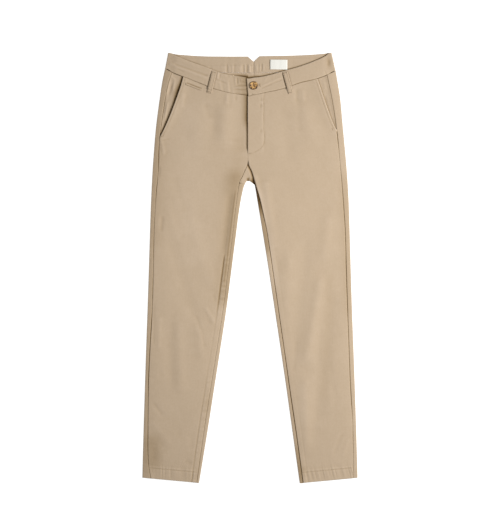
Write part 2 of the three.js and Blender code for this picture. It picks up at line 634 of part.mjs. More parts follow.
const CLOTH_COLOUR = 0xc6ab8a;
const material = (color, roughness) => new THREE.MeshStandardMaterial({ color, roughness, metalness: 0 });

const part = new THREE.Group();
function add(name, geometry, finish) {
  const mesh = new THREE.Mesh(geometry, finish);
  mesh.name = name;
  part.add(mesh);
}
for (const side of [right, left]) {
  add("front_" + side.name, frontPanel(side), material(CLOTH_COLOUR, 0.9));
  add("back_" + side.name, backPanel(side), material(CLOTH_COLOUR, 0.9));
  add("waistband_" + side.name, waistband(side), material(CLOTH_COLOUR, 0.9));
  add("pocket_facing_" + side.name, pocketFacing(side), material(CLOTH_COLOUR, 0.9));
  add("belt_loop_front_" + side.name, frontLoop(side), material(CLOTH_COLOUR, 0.9));
  add("belt_loop_back_" + side.name, backLoop(side), material(CLOTH_COLOUR, 0.9));
}
add("coin_pocket_welt", coinPocketWelt(), material(CLOTH_COLOUR, 0.9));
add("label", labelSheet(), material(0xf2efe6, 0.8));
add("button", buttonDisc(), material(0x8a5a2a, 0.35));

export default part;
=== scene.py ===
# %% [markdown]
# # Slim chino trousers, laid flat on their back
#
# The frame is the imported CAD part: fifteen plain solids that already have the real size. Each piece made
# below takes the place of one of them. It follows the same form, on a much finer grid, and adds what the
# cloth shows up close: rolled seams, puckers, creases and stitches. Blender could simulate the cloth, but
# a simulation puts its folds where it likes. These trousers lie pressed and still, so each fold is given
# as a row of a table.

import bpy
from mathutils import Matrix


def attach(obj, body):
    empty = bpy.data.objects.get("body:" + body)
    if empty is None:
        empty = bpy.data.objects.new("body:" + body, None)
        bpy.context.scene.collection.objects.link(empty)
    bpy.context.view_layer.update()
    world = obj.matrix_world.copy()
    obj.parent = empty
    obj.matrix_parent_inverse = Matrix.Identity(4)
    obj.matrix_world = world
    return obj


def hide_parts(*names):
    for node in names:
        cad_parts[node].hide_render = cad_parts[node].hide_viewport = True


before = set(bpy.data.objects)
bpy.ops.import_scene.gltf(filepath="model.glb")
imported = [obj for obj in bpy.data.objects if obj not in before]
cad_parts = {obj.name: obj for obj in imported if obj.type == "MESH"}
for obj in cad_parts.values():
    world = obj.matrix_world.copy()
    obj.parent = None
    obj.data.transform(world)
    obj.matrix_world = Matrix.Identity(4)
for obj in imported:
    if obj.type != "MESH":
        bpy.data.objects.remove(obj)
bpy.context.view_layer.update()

# %% Tools that the lesson uses
import math

import bpy
import numpy as np
from mathutils import Vector

MM = 0.001  # Blender works in metres, and every size below is in millimetres

# %% [markdown]
# ## Camera, floor and light
#
# A garment for a shop page is laid on a white table and photographed from straight above. The camera
# hangs over the middle of the picture with a long lens, so that the cloth doesn't look wider near the
# edges. The table is an acrylic sheet lit from below, which photographers use to lose the shadow round
# a thing. A big lamp low at the upper right makes the folds read, a small one overhead fills them, and
# the room gives a little light from all round.

# %% Camera over the table
FRAME_HEIGHT = 1.2975  # what the picture spans at the table, in metres
LENS, SENSOR = 100.0, 36.0
CAMERA_Y = 0.02125

camera_data = bpy.data.cameras.new("camera")
camera_data.lens = LENS
camera_data.sensor_width = SENSOR
camera = bpy.data.objects.new("camera", camera_data)
camera.location = (0, CAMERA_Y, FRAME_HEIGHT * LENS / SENSOR)
bpy.context.scene.collection.objects.link(camera)
bpy.context.scene.camera = camera
bpy.context.scene.view_settings.view_transform = "Standard"
print("camera height", round(camera.location.z, 3), "m")

# %% Light table, lamps and room
TABLE_SIZE = 9.0
TABLE_DROP = 0.0002
KEY = {"place": (2.4, 0.4, 1.9), "size": 1.0, "watts": 116.0}
FILL = {"place": (-0.05, 0.03, 0.85), "size": 0.5, "watts": 2.1}
ROOM_LIGHT = 0.27

table_mesh = bpy.data.meshes.new("light_table")
half = TABLE_SIZE / 2
corners = [(-half, -half), (half, -half), (half, half), (-half, half)]
table_mesh.from_pydata([(x, y, -TABLE_DROP) for x, y in corners], [], [(0, 1, 2, 3)])
light_table = bpy.data.objects.new("light_table", table_mesh)
bpy.context.scene.collection.objects.link(light_table)

acrylic = bpy.data.materials.new("white_acrylic")
acrylic.use_nodes = True
acrylic_shader = acrylic.node_tree.nodes["Principled BSDF"]
acrylic_shader.inputs["Base Color"].default_value = (0.4, 0.4, 0.4, 1)
acrylic_shader.inputs["Roughness"].default_value = 0.9
acrylic_shader.inputs["Specular IOR Level"].default_value = 0.0
acrylic_shader.inputs["Emission Color"].default_value = (1, 1, 1, 1)
acrylic_shader.inputs["Emission Strength"].default_value = 0.85
table_mesh.materials.append(acrylic)


def add_lamp(name, place, size, watts):
    data = bpy.data.lights.new(name, "AREA")
    data.shape = "DISK"
    data.size = size
    data.energy = watts
    lamp = bpy.data.objects.new(name, data)
    lamp.location = place
    lamp.rotation_euler = (-Vector(place)).to_track_quat("-Z", "Y").to_euler()
    lamp.visible_camera = False  # the fill hangs between the camera and the table
    bpy.context.scene.collection.objects.link(lamp)


add_lamp("key", **KEY)
add_lamp("fill", **FILL)
room = bpy.data.worlds.new("room")
room.use_nodes = True
room.node_tree.nodes["Background"].inputs["Color"].default_value = (1, 1, 1, 1)
room.node_tree.nodes["Background"].inputs["Strength"].default_value = ROOM_LIGHT
bpy.context.scene.world = room
print("key", KEY["watts"], "W, fill", FILL["watts"], "W, room", ROOM_LIGHT)

# %% [markdown]
# ## The pattern
#
# A pattern cutter describes a leg by its width at a few heights and lets a smooth curve join them. The
# same is done here: each table has a row for a height, or for a place along the waist, and one column
# for each edge. They are the sizes that the solids were built from, so both models share one outline.
# X runs across the garment, Y up it and Z off the table. "Right" and "left" are the wearer's, so the
# right leg has negative X.

# %% Sizes shared by all the pieces
CLOTH = 1.2  # twill with its seam allowances, as one wall
BAND_WALL = 2.2  # the waistband is two layers of cloth with a stiffener between them
SEAM_GAP = 0.3
FOLD_RADIUS = 1.6  # outside of the soft fold at each edge of a leg
BAND_FOLD_RADIUS = 2.4
LOFT = 2.1  # how much higher the middle of a leg stands than its folded edge
LOFT_REACH = 14
HEM_DEPTH = 28
HEM_RISE = 0.5
CROTCH = 218  # Y where the legs part
CENTRE_BACK = {"top": 9, "crotch": 3}  # X of the centre back seam at its two ends
NOTCH = {"width": 29, "foot": 0.68}  # the V at the centre back, from this share of the band's height
FLY = {"edge": -5.6, "bottom": 292, "lap": 8, "rise": 0.5, "width": 39, "sink": 2.5, "reach": 32}
TAB = {"end": -4.5, "lean": 3.8, "drop": 3, "from": 14, "reach": 20}  # the end that is buttoned
UNDER_TAB = 29  # X to which the right half of the waistband runs under it
LOOP = {"width": 12, "thickness": 1.1, "arch": 1.3}
BACK_LOOP = {"spread": 30, "ramp": 4}
POCKET = {"gape": 1.3, "reach": 17, "foot": 14, "facing": 1.0, "tuck": 12, "sink": 1.9, "tail": 9}
EXTRA_GAPE = {"right": 1.5, "left": 0}  # the right pocket stands open in the middle
OVERHANG = {"low": 92, "high": 130, "top": 262, "rise": 1.9, "reach": 11}  # left front over its inseam
SIDE_BLEND = 18  # over this length the waist's edges run into the side fold
FOLD_END = 40  # a long fold fades out over this length
SHORT_END = 0.3  # a short crease begins this far into its rise, so its ends are blunter


def table(columns, *rows):
    """A short table as a dict of its named columns."""
    return {name: np.array(values, float) for name, values in zip(columns.split(), zip(*rows))}


# %% Outline of the legs
SIDES = table(
    "y rightOuter rightSeam leftSeam leftOuter",
    (540, -204.2, -186, 176, 203.6),
    (495, -213, -196.5, 188.5, 213.6),
    (465, -219.2, -205.5, 195, 219),
    (420, -226, -215, 205.2, 226),
    (370, -232.7, -221.6, 214.5, 230.6),
    (327, -237.2, -225.8, 221.2, 234.6),
    (245, -243.2, -229.3, 227.8, 242),
    (170, -247, -234.4, 232.6, 246.6),
    (95, -249.6, -237.8, 237, 249.1),
    (-5, -252.7, -240.2, 242, 252),
    (-105, -256, -243.2, 245.2, 255.1),
    (-205, -259.6, -249.2, 248.4, 258.9),
    (-305, -262.8, -253.4, 252.2, 262.4),
    (-405, -265.9, -255.4, 256.8, 265.6),
    (-480, -267.9, -254.8, 259.6, 267.8),
    (-540, -269.3, -246.5, 261, 269.3),
)
INNERS = table(
    "y rightInner rightInset leftInner leftInset",
    (222, -6.5, 17, 8.4, 1.5),
    (207, -13.9, 14, 11.8, 2.6),
    (195, -17.5, 12.5, 14.2, 3.8),
    (170, -22.8, 10.5, 18.3, 7),
    (132, -28.7, 9.5, 24.6, 9),
    (95, -33.4, 9, 30.8, 10.4),
    (45, -39.8, 8.7, 38.9, 10.4),
    (-5, -46.2, 8.7, 46.8, 9.6),
    (-105, -59.2, 8.7, 62, 8.8),
    (-205, -74.4, 8.9, 77, 8.2),
    (-305, -90, 9.2, 91.6, 7.8),
    (-405, -105.6, 9.2, 105.6, 8.6),
    (-540, -127.6, 6, 124.6, 8.4),
)
FORK = table(
    "y rightEdge leftEdge",
    (292, -5.3, -5.3),
    (270, -5, -5),
    (256, -7.2, -2.8),
    (243, -12.8, 3.4),
    (230, -18.6, 7.8),
    (222, -22.2, 9.9),
)
WAIST = table(
    "x frontTop frontSeam backTop backSeam",
    (-214, 540, 498, 537.6, 498),
    (-190, 532.2, 488.4, 534.4, 495.6),
    (-150, 515.8, 472, 531, 492.4),
    (-110, 501.6, 455.8, 528.9, 490.2),
    (-70, 486.4, 443.4, 528.5, 489),
    (-30, 479.6, 435.4, 528.3, 488.4),
    (5, 475.6, 432.8, 528.6, 488),
    (35, 478.8, 436.6, 529.6, 488.6),
    (85, 492.4, 447.8, 530.4, 489.4),
    (130, 505.4, 464.8, 531.8, 490.2),
    (175, 523, 476.8, 534.6, 491.2),
    (214, 543, 492.6, 538.6, 491.8),
)
BAND_SIDES = {
    "right": {"top": (-204.4, 537.5), "low": (-212.3, 497.4)},
    "left": {"top": (204.0, 537.5), "low": (214.2, 491.6)},
}
HEMS = {
    "right": {"outerX": -268.9, "outerY": -523.8, "innerX": -127.2, "innerY": -536.8},
    "left": {"outerX": 268.9, "outerY": -524.0, "innerX": 124.4, "innerY": -537.5},
}
POCKETS = {
    "right": table(
        "y x", (484, -168.4), (462, -175.6), (420, -189.4), (378, -203.4), (350, -214.6), (327, -225.4)
    ),
    "left": table(
        "y x", (484, 163.6), (462, 172.4), (420, 186.4), (390, 197.0), (362, 207.8), (341, 218.6)
    ),
}
BAND_HEIGHTS = {  # how high the top of the band stands in front
    "right": table("x z", (-200, 5.0), (-180, 6.2), (-100, 6.5), (-55, 5.3), (-18, 4.0), (30, 3.8)),
    "left": table("x z", (-10, 6.6), (40, 6.7), (120, 6.5), (180, 6.2), (200, 5.0)),
}
print("waist laid flat", BAND_SIDES["left"]["top"][0] - BAND_SIDES["right"]["top"][0], "mm")

# %% [markdown]
# ## How the sewing departs from the pattern
#
# No seam is sewn quite on its line. These are the few millimetres by which the side seams, the waist
# seam and the pocket mouth wander on the finished garment, and how deep a shade each seam shows along
# its length: nearly none where it lies open, and nearly black where two folds close over it.

# %% Wander and depth of the seams
DRIFT = table(
    "y right left",
    (470, 2.5, 0.8),
    (420, 2.5, -0.2),
    (370, 1.5, -1.5),
    (345, 1, -2.8),
    (295, -0.5, -2.5),
    (245, 0.2, -1.5),
    (195, -1, -0.3),
    (145, -1.5, 0.2),
    (95, -2, 0.6),
    (45, -1.8, -0.5),
    (-5, -1.5, -1.8),
    (-105, -1.5, -1.6),
    (-180, -1.2, -1.2),
    (-280, -1.2, -1.1),
    (-330, -0.5, -0.5),
    (-380, 0, 0.4),
    (-430, 0.2, -0.6),
    (-505, 0.5, -2.2),
)
WAIST_DRIFT = table(
    "x up",
    (-214, 0),
    (-193, -1.8),
    (-157, -0.8),
    (-121, 0),
    (-97, -1),
    (-61, -1.3),
    (-25, -0.8),
    (15, 0),
    (39, 1.2),
    (75, 1.2),
    (99, 0.8),
    (123, -0.2),
    (147, -1.6),
    (171, -1.2),
    (195, -0.8),
    (214, 0),
)
MOUTH_OPEN = table(
    "y right left",
    (484, 3, 0),
    (455, 5, 0),
    (420, 4.4, 0),
    (394, 3.2, 0),
    (369, 2, 0),
    (327, 0.4, 0),
)
SEAM_SHADE = table(
    "y rightSide leftSide rightInseam leftInseam",
    (470, 0.4, 0.4, 0, 0),
    (420, 0.3, 0.45, 0, 0),
    (395, 0.7, 0.5, 0, 0),
    (357, 0.5, 0.6, 0, 0),
    (320, 0.1, 0.6, 0, 0),
    (295, 0.6, 0.25, 0, 0),
    (270, 0.7, 0.05, 0.05, 0),
    (232, 0.2, 0.25, 0.25, 0.2),
    (195, 0.5, 0.4, 0.05, 0.3),
    (157, 0.1, 0.5, 0, 0.4),
    (95, 0.25, 0.5, 0, 0.4),
    (45, 0.4, 0.5, 0, 0.5),
    (7, 0.2, 0.75, 0, 0.35),
    (-42, 0.45, 0.65, 0, 0.5),
    (-105, 0.3, 0.6, 0, 0.5),
    (-142, 0.8, 0.5, 0, 0.5),
    (-192, 0.7, 0.45, 0, 0.5),
    (-280, 0.85, 0.5, 0.05, 0.85),
    (-330, 0.5, 0.65, 0.15, 1),
    (-380, 0.5, 0.1, 0.2, 1),
    (-430, 0.6, 0.3, 0.1, 1),
    (-480, 0.3, 0.1, 0.3, 1),
    (-517, 0.3, 0.1, 0.4, 0.7),
)
WAIST_SHADE = table(
    "x depth",
    (-205, 0.35),
    (-185, 0.5),
    (-165, 0.3),
    (-140, 0.1),
    (-121, 0.25),
    (-85, 0.25),
    (-40, 0.1),
    (-13, 0.5),
    (0, 0.1),
    (40, 0.1),
    (70, 0.2),
    (100, 0.15),
    (123, 0.45),
    (147, 0.4),
    (165, 0.2),
    (185, 0.2),
    (200, 0.3),
)
BAND_SHADOW = table(  # what the front of the band throws on the back of it
    "x depth",
    (-202, 0.9),
    (-188, 0.7),
    (-172, 0.2),
    (-140, 0.35),
    (-110, 0.2),
    (-60, 0.25),
    (-40, 0.4),
    (-25, 0.95),
    (-12, 1),
    (30, 1),
    (60, 0.8),
    (90, 0.9),
    (130, 0.65),
    (170, 0.65),
    (190, 1),
    (204, 1),
)

# %% [markdown]
# ## Folds and creases
#
# Laid cloth is never quite flat. Long soft ridges and troughs come from how it hung and was packed, and
# short sharp creases gather where it is sewn. Each row is one of them: a line, the half width of the
# ridge, and its height, with a trough below zero. The long ones are in the solids too.

# %% The largest soft folds
FOLD_COLUMNS = "x1 y1 x2 y2 width height"
FOLDS = table(
    FOLD_COLUMNS,
    (-60, 425, -66, 290, 19, 0.9),
    (-88, 420, -92, 310, 14, -0.6),
    (-140, 400, -120, 250, 24, 0.5),
    (-30, 205, -56, 20, 8, 0.9),
    (-46, 205, -68, 20, 11, -0.9),
    (-165, 150, -90, -60, 20, 0.5),
    (-205, 90, -130, -150, 18, -0.5),
    (-205, -110, -196, -300, 15, -0.6),
    (-180, -130, -170, -330, 14, 0.5),
    (-130, -120, -118, -250, 13, 0.5),
    (202, 150, 180, -5, 17, 0.8),
    (180, -5, 137, -255, 15, 1.2),
    (137, -255, 141, -475, 14, 0.9),
    (142, 80, 104, -240, 18, -0.8),
    (208, -50, 168, -400, 19, -0.8),
    (98, 60, 88, -120, 14, 0.5),
    (130, 420, 165, 290, 20, 0.6),
    (85, 420, 100, 250, 22, -0.6),
)

# %% Smaller creases on the fronts
CREASES = table(
    FOLD_COLUMNS,
    (-166, 438, -170, 400, 5, 0.4),
    (-112, 412, -100, 372, 9, -0.5),
    (-57, 436, -58, 408, 5, 0.5),
    (-36, 431, -35, 418, 3, -0.4),
    (-222, 320, -214, 284, 4, 0.5),
    (-222, 318, -198, 323, 2, -0.4),
    (-226, 254, -227, 226, 3, -0.4),
    (-219, 130, -222, 90, 5, -0.6),
    (-191, 228, -162, 137, 11, -0.25),
    (-162, 137, -141, 46, 11, -0.25),
    (-208, 172, -180, 62, 10, 0.25),
    (-225, -122, -228, -202, 6, 0.6),
    (-240, -88, -241, -192, 4, -0.5),
    (-194, -112, -190, -182, 8, -0.4),
    (-226, -253, -220, -272, 6, -0.4),
    (-244, -336, -219, -366, 5, -0.6),
    (-248, -382, -198, -441, 9, 0.5),
    (-251, -437, -233, -443, 1.6, -0.4),
    (-241, -445, -240, -482, 8, -0.7),
    (-163, -479, -145, -490, 6, -0.7),
    (-148, -413, -146, -452, 7, -0.4),
    (-219, -463, -212, -482, 6, 0.3),
    (-64, 30, -78, -92, 2.6, -0.7),
    (-113, -96, -87, -138, 5, 0.7),
    (-136, -118, -121, -158, 5, -0.6),
    (-121, -154, -113, -200, 5, -0.5),
    (-108, -125, -99, -141, 2.5, -0.4),
    (-92, -63, -86, -86, 3, -0.4),
    (38, 216, 62, 48, 10, 0.6),
    (72, 22, 71, -12, 6, -0.4),
    (103, 22, 78, -32, 9, 0.4),
    (178, -150, 165, -320, 9, -0.4),
    (165, -316, 166, -410, 9, -0.4),
    (115, -182, 110, -260, 7, -0.5),
    (200, -230, 215, -348, 8, -0.35),
    (231, -412, 209, -466, 5, -0.5),
    (247, -425, 231, -471, 5, 0.4),
    (205, -489, 221, -494, 5, -0.3),
    (28.5, 426, 28, 416, 3, -0.5),
    (27, 411, 26, 399, 3, -0.5),
    (27.5, 347, 27, 337, 3, -0.4),
    (117, 448, 117, 416, 5, -0.5),
    (132, 446, 134, 414, 5, 0.3),
    (120, 424, 124, 338, 10, -0.35),
)

# %% Creases across the waistband
BAND_CREASES = table(
    FOLD_COLUMNS,
    (-189, 509, -105, 479.3, 3, -1),
    (-204, 511, -107, 473, 4, 0.6),
    (-182, 498, -165, 489, 1.8, -0.4),
    (-195, 526, -125, 500, 4, 0.35),
    (-89, 473, -60, 460.5, 2.4, -0.6),
    (-80, 475, -58, 466, 3, 0.3),
    (-75, 486, -76, 469, 1.6, -0.8),
    (-81, 488, -82, 471, 2, 0.5),
    (-32, 476, -31.5, 459, 1.8, -1),
    (-33, 456, -9, 456.5, 1.5, -1.3),
    (-40, 450, -9, 449.5, 1.8, 0.8),
    (-38, 446, -9, 445.5, 1.4, -1),
    (-40, 437.5, -10, 434.5, 1.6, -0.8),
    (-28, 468, -10, 462, 2.6, -0.7),
    (-22, 475, -21, 462, 1.8, 0.6),
    (-53.5, 479, -54, 440, 4, 0.5),
    (-36, 477, -36, 455, 2.5, 0.4),
    (28, 448, 58, 461.8, 2, -0.7),
    (57, 461.5, 81, 470.8, 2, -0.6),
    (30, 454, 79, 476, 3, 0.35),
    (34, 464, 45, 478, 2, 0.3),
    (196, 521, 197, 503, 4, -0.7),
    (186, 494, 191, 481, 1.5, -0.5),
)
print("folds", len(FOLDS["x1"]), "creases", len(CREASES["x1"]), "on the band", len(BAND_CREASES["x1"]))

# %% [markdown]
# ## Curves and noise
#
# numpy works on a whole grid of points at once, so each helper takes and gives back arrays. The curve
# is a Hermite one through the table's values, the same as in the solids. Real cloth is also a little
# uneven everywhere. That comes from two seeded noises, one along a line and one over an area, which are
# the same on every run.

# %% Blending and smooth curves
def mix(a, b, t):
    return a + (b - a) * t


def ease(t):
    t = np.clip(t, 0, 1)
    return t * t * (3 - 2 * t)


def bump(distance, reach):
    """1 at no distance, falling softly to 0 past the reach."""
    return np.exp(-((distance / reach) ** 2))


def curve(rows, key, value):
    """A smooth curve through one column of a table, against another of its columns."""
    order = np.argsort(rows[key])
    k, v = rows[key][order], rows[value][order]
    last = len(k) - 1
    ahead, behind = np.minimum(np.arange(last + 1) + 1, last), np.maximum(np.arange(last + 1) - 1, 0)
    slope = (v[ahead] - v[behind]) / (k[ahead] - k[behind])

    def at(place):
        i = np.clip(np.searchsorted(k, place) - 1, 0, last - 1)
        span = k[i + 1] - k[i]
        t = np.clip((place - k[i]) / span, 0, 1)
        u = 1 - t
        ends = v[i] * (1 + 2 * t) * u * u + v[i + 1] * (3 - 2 * t) * t * t
        return ends + slope[i] * span * t * u * u - slope[i + 1] * span * t * t * u

    return at


# %% Seeded noise along a line and over an area
NOISE_SPAN = 2048


def ripple(along, spacing, seed):
    """Uneven waves from -1 to 1 along a line."""
    heights = np.random.default_rng(seed).uniform(-1, 1, NOISE_SPAN)
    place = along / spacing + NOISE_SPAN / 2
    i = np.floor(place).astype(int)
    return mix(heights[i % NOISE_SPAN], heights[(i + 1) % NOISE_SPAN], ease(place - i))


def rumple(x, y, spacing, seed):
    """Uneven hills from -1 to 1 over an area."""
    size = 256
    heights = np.random.default_rng(seed).uniform(-1, 1, (size, size))
    i, j = np.floor(x / spacing).astype(int), np.floor(y / spacing).astype(int)
    s, t = ease(x / spacing - i), ease(y / spacing - j)
    low = mix(heights[i % size, j % size], heights[(i + 1) % size, j % size], s)
    high = mix(heights[i % size, (j + 1) % size], heights[(i + 1) % size, (j + 1) % size], s)
    return mix(low, high, t)


def fold_height(folds, x, y, end=FOLD_END):
    """Height that a table of folds adds. Each fades out over the end length, or half of it if short."""
    total = np.zeros(np.broadcast(x, y).shape)
    for x1, y1, x2, y2, width, height in zip(*folds.values()):
        dx, dy = x2 - x1, y2 - y1
        length = math.hypot(dx, dy)
        fade = min(end, length / 2)
        along = ((x - x1) * dx + (y - y1) * dy) / length
        across = ((x - x1) * dy - (y - y1) * dx) / length
        start = 0 if end == FOLD_END else SHORT_END
        ends = ease(along / fade + start) * ease((length - along) / fade + start)
        total += height * ends * bump(across, width)
    return total


# %% [markdown]
# ## One leg in plan
#
# Both legs are cut from the same tables, mirrored by one sign: inward is +1 on the right leg and -1 on
# the left, and points from the side seam to the middle. Keeping that sign in one object means that each
# piece below is written once and made twice.

# %% A leg and its edges
def to_side(edge, side):
    """An edge of the waistband, running into its side fold."""
    return lambda x: mix(side[1], edge(x), ease(np.abs(x - side[0]) / SIDE_BLEND))


def to_tab(edge):
    """An edge of the waistband, dropping to the tab's end."""
    return lambda x: edge(x) - TAB["drop"] * ease((TAB["from"] - x) / TAB["reach"])


def plus(edge, wander):
    """An edge that wanders from its line."""
    return lambda at: edge(at) + wander(at)


class Leg:
    """One side of the garment: its edges, as curves, and which way is inward."""

    def __init__(self, name, inward):
        self.name, self.inward = name, inward
        closing = to_tab if name == "left" else (lambda edge: edge)
        top, low = BAND_SIDES[name]["top"], BAND_SIDES[name]["low"]
        waist_seam = plus(curve(WAIST, "x", "frontSeam"), curve(WAIST_DRIFT, "x", "up"))
        self.front_top = to_side(closing(curve(WAIST, "x", "frontTop")), top)
        self.front_seam = to_side(closing(waist_seam), low)
        self.back_top = to_side(curve(WAIST, "x", "backTop"), top)
        self.back_seam = to_side(curve(WAIST, "x", "backSeam"), low)
        self.outer = curve(SIDES, "y", name + "Outer")
        self.seam = plus(curve(SIDES, "y", name + "Seam"), curve(DRIFT, "y", name))
        self.inner = curve(INNERS, "y", name + "Inner")
        self.inset = curve(INNERS, "y", name + "Inset")
        self.fork = curve(FORK, "y", name + "Edge")
        self.pocket = plus(curve(POCKETS[name], "y", "x"), curve(MOUTH_OPEN, "y", name))
        self.pocket_foot = POCKETS[name]["y"].min()
        self.pocket_head = POCKETS[name]["y"].max()
        self.band_height = curve(BAND_HEIGHTS[name], "x", "z")

    def inseam(self, y):
        """X of the inseam, and of the fork's edge above it."""
        return np.where(y > INNERS["y"].max(), self.fork(y), self.inner(y) - self.inward * self.inset(y))

    def hem_y(self, x):
        hem = HEMS[self.name]
        return mix(hem["outerY"], hem["innerY"], (x - hem["outerX"]) / (hem["innerX"] - hem["outerX"]))

    def front_edge(self, y):
        """Outer edge of the front: the pocket mouth, then the side seam."""
        return np.where(y > self.pocket_foot, self.pocket(y), self.seam(y))

    def across(self, edge, x, y):
        """Distance of a point from an edge, inward above zero."""
        slope = (edge(y + 1.0) - edge(y - 1.0)) / 2
        return self.inward * (x - edge(y)) / np.sqrt(1 + np.minimum(slope**2, 4))

    def back_loop_x(self):
        return CENTRE_BACK["top"] - self.inward * BACK_LOOP["spread"]


right, left = Leg("right", 1), Leg("left", -1)
LEGS = (right, left)


def centre_back(y):
    """X of the centre back seam."""
    waist_y = float(right.back_seam(np.array(0.0)))
    return mix(CENTRE_BACK["crotch"], CENTRE_BACK["top"], np.clip((y - CROTCH) / (waist_y - CROTCH), 0, 1))


print("hem width", round(HEMS["right"]["innerX"] - HEMS["right"]["outerX"], 1), "mm")

# %% [markdown]
# ## How high the cloth stands
#
# The form of every panel is a height over the plan. It starts as the solid's form: a soft fold at each
# edge, a little loft between, the long folds, and what the pocket and the fly do. Then comes relief that
# is too fine for the solid. A seam is a groove, because the stitches pull both edges down. Cloth that is
# sewn to a slightly shorter layer puckers across the seam. The turned-in seam allowance makes a low step
# beside it, and a topstitched line sinks.

# %% The solid's form
FOLD_GAIN = 1.5  # the long folds stand a little higher than in the solids
PRESSED_HEM = {"share": 0.45, "reach": 45}  # a leg has less loft near its hem
FLY_HEAD = {"up": 14, "reach": 26}  # the lap of the fly comes in over this height


def from_outer(leg, x, y):
    """Distance inward from the fold along the leg's outer edge."""
    return np.maximum(0, leg.inward * (x - leg.outer(y)) - FOLD_RADIUS)


def from_inner(leg, x, y):
    """The same from the inner edge, measured round the crotch."""
    top = INNERS["y"].max()
    across = leg.inward * (leg.inner(np.minimum(y, top)) - x)
    return np.maximum(0, np.hypot(np.maximum(0, across), np.maximum(0, y - top)) - FOLD_RADIUS)


def upper_surface(leg, x, y):
    """Top of a leg as it lies, without its seams."""
    up_outer = 1 - np.exp(-from_outer(leg, x, y) / LOFT_REACH)
    up_inner = 1 - np.exp(-from_inner(leg, x, y) / LOFT_REACH)
    above_hem = y - leg.hem_y(x)
    pressed = 1 - PRESSED_HEM["share"] * np.exp(-np.maximum(0, above_hem) / PRESSED_HEM["reach"])
    hem = HEM_RISE * ease((HEM_DEPTH - above_hem) / 3 + 0.5)
    loft = (LOFT * pressed + FOLD_GAIN * fold_height(FOLDS, x, y)) * up_outer * up_inner
    return 2 * FOLD_RADIUS + loft + hem


def front_form(leg, x, y):
    """Top of a front, with the open pocket, the lap of the fly and the overhang at the crotch."""
    z = upper_surface(leg, x, y)
    down = np.clip((leg.pocket_head - y) / (leg.pocket_head - leg.pocket_foot), 0, 1)
    gape = POCKET["gape"] + EXTRA_GAPE[leg.name] * np.sin(math.pi * down)
    mouth = np.maximum(0, leg.inward * (x - leg.pocket(np.maximum(y, leg.pocket_foot))))
    below = np.maximum(0, leg.pocket_foot - y) / POCKET["foot"]
    z = z + gape * np.exp(-((mouth / POCKET["reach"]) ** 2) - below**2)
    fly = ease((y - FLY["bottom"] + FLY_HEAD["up"]) / FLY_HEAD["reach"])
    from_fly = np.abs(x - FLY["edge"])
    if leg is right:
        return z - FLY["sink"] * fly * bump(np.maximum(0, from_fly - FLY["lap"] - 1), FLY["reach"])
    z = z + FLY["rise"] * fly * ease((FLY["width"] - from_fly) / 4 + 0.5)
    along = ease((y - OVERHANG["low"]) / (OVERHANG["high"] - OVERHANG["low"]))
    fade = ease((OVERHANG["top"] - y) / 12)
    return z + OVERHANG["rise"] * along * fade * bump(from_inner(leg, x, y), OVERHANG["reach"])


# %% Sizes of the seams, stitched lines and puckers
SEAM_ROLL = {"depth": 1.25, "reach": 1.0}
EDGE_ROLL = {"depth": 0.45, "reach": 0.9}  # a folded edge, such as the pocket mouth
TOPSTITCH = {"in": 5.5, "depth": 0.3, "width": 0.9}
ALLOWANCE = {"width": 13.0, "rise": 0.35, "step": 2.2}  # the seam allowance, felt through the front
ALLOWANCE_EDGE = {"depth": 0.4, "width": 1.4, "out": 0.5}  # a line pressed in beside it
SIDE_PUCKER = {"right": 0.10, "left": 0.05}
INSEAM_PUCKER = {"right": 0.42, "left": 0.10}
WAIST_PUCKER, MOUTH_PUCKER, FLY_PUCKER = 0.15, 0.16, 0.14
INSEAM_IN = 4  # where the folded inseam lies under the hem
FLY_STITCH = {"depth": 0.35, "width": 1.0}
LADDER_SPACING = 6.5
LADDER = table(  # how strongly the puckers beside the inseam show
    "y right left",
    (200, 0, 0),
    (60, 0.3, 0.2),
    (20, 1, 0.3),
    (-80, 1, 0.2),
    (-160, 0.5, 0.2),
    (-260, 0.3, 0.2),
    (-310, 0.7, 0.2),
    (-520, 0.7, 0.5),
)
INSEAM_GROOVE = {"right": 0.35, "left": 1.0}  # the right inseam lies open, so its groove is shallow
WAIST_GROOVE = 0.5
JOGS = (0.30, 0.09)  # how uneven the cloth is everywhere, in wide and in narrow hills
CREASE_GAIN = {"shin": 0.7, "seat": 1.4}  # creases are sharpest round the hips
CREASE_END = 12


# %% Grooves, puckers and distances from a line
def seam_groove(distance, roll):
    """A rounded groove along a seam or an edge."""
    return -roll["depth"] * bump(np.maximum(0, distance), roll["reach"])


def puckers(distance, along, spacing, reach, seed):
    """Short ridges across a seam, which fade away from it."""
    return ripple(along, spacing, seed) * np.exp(-np.maximum(0, distance) / reach)


J_STITCH = table(  # the stitched line of the fly, which ends in a hook
    "x y",
    (34.2, 431),
    (34.2, 390),
    (34.4, 345),
    (37, 328),
    (31.5, 304),
    (12.5, 289.5),
    (-2.5, 285),
)
WELT = {"from": (-158.5, 462.4), "to": (-122.5, 448.4), "width": 5, "thickness": 0.7}
SLIT = {"depth": 1.5, "width": 0.9, "above": 0.2}  # the coin pocket's opening, above its welt


def smooth_path(xs, ys, count):
    """A smooth line through a few points, as points at even shares of its length."""
    reach = np.concatenate([[0], np.cumsum(np.hypot(np.diff(xs), np.diff(ys)))])
    rows = {"s": reach, "x": np.asarray(xs, float), "y": np.asarray(ys, float)}
    fine = np.linspace(0, reach[-1], 8 * count)
    x, y = curve(rows, "s", "x")(fine), curve(rows, "s", "y")(fine)
    length = np.concatenate([[0], np.cumsum(np.hypot(np.diff(x), np.diff(y)))])
    even = np.linspace(0, length[-1], count)
    return np.stack([np.interp(even, length, x), np.interp(even, length, y)], axis=-1)


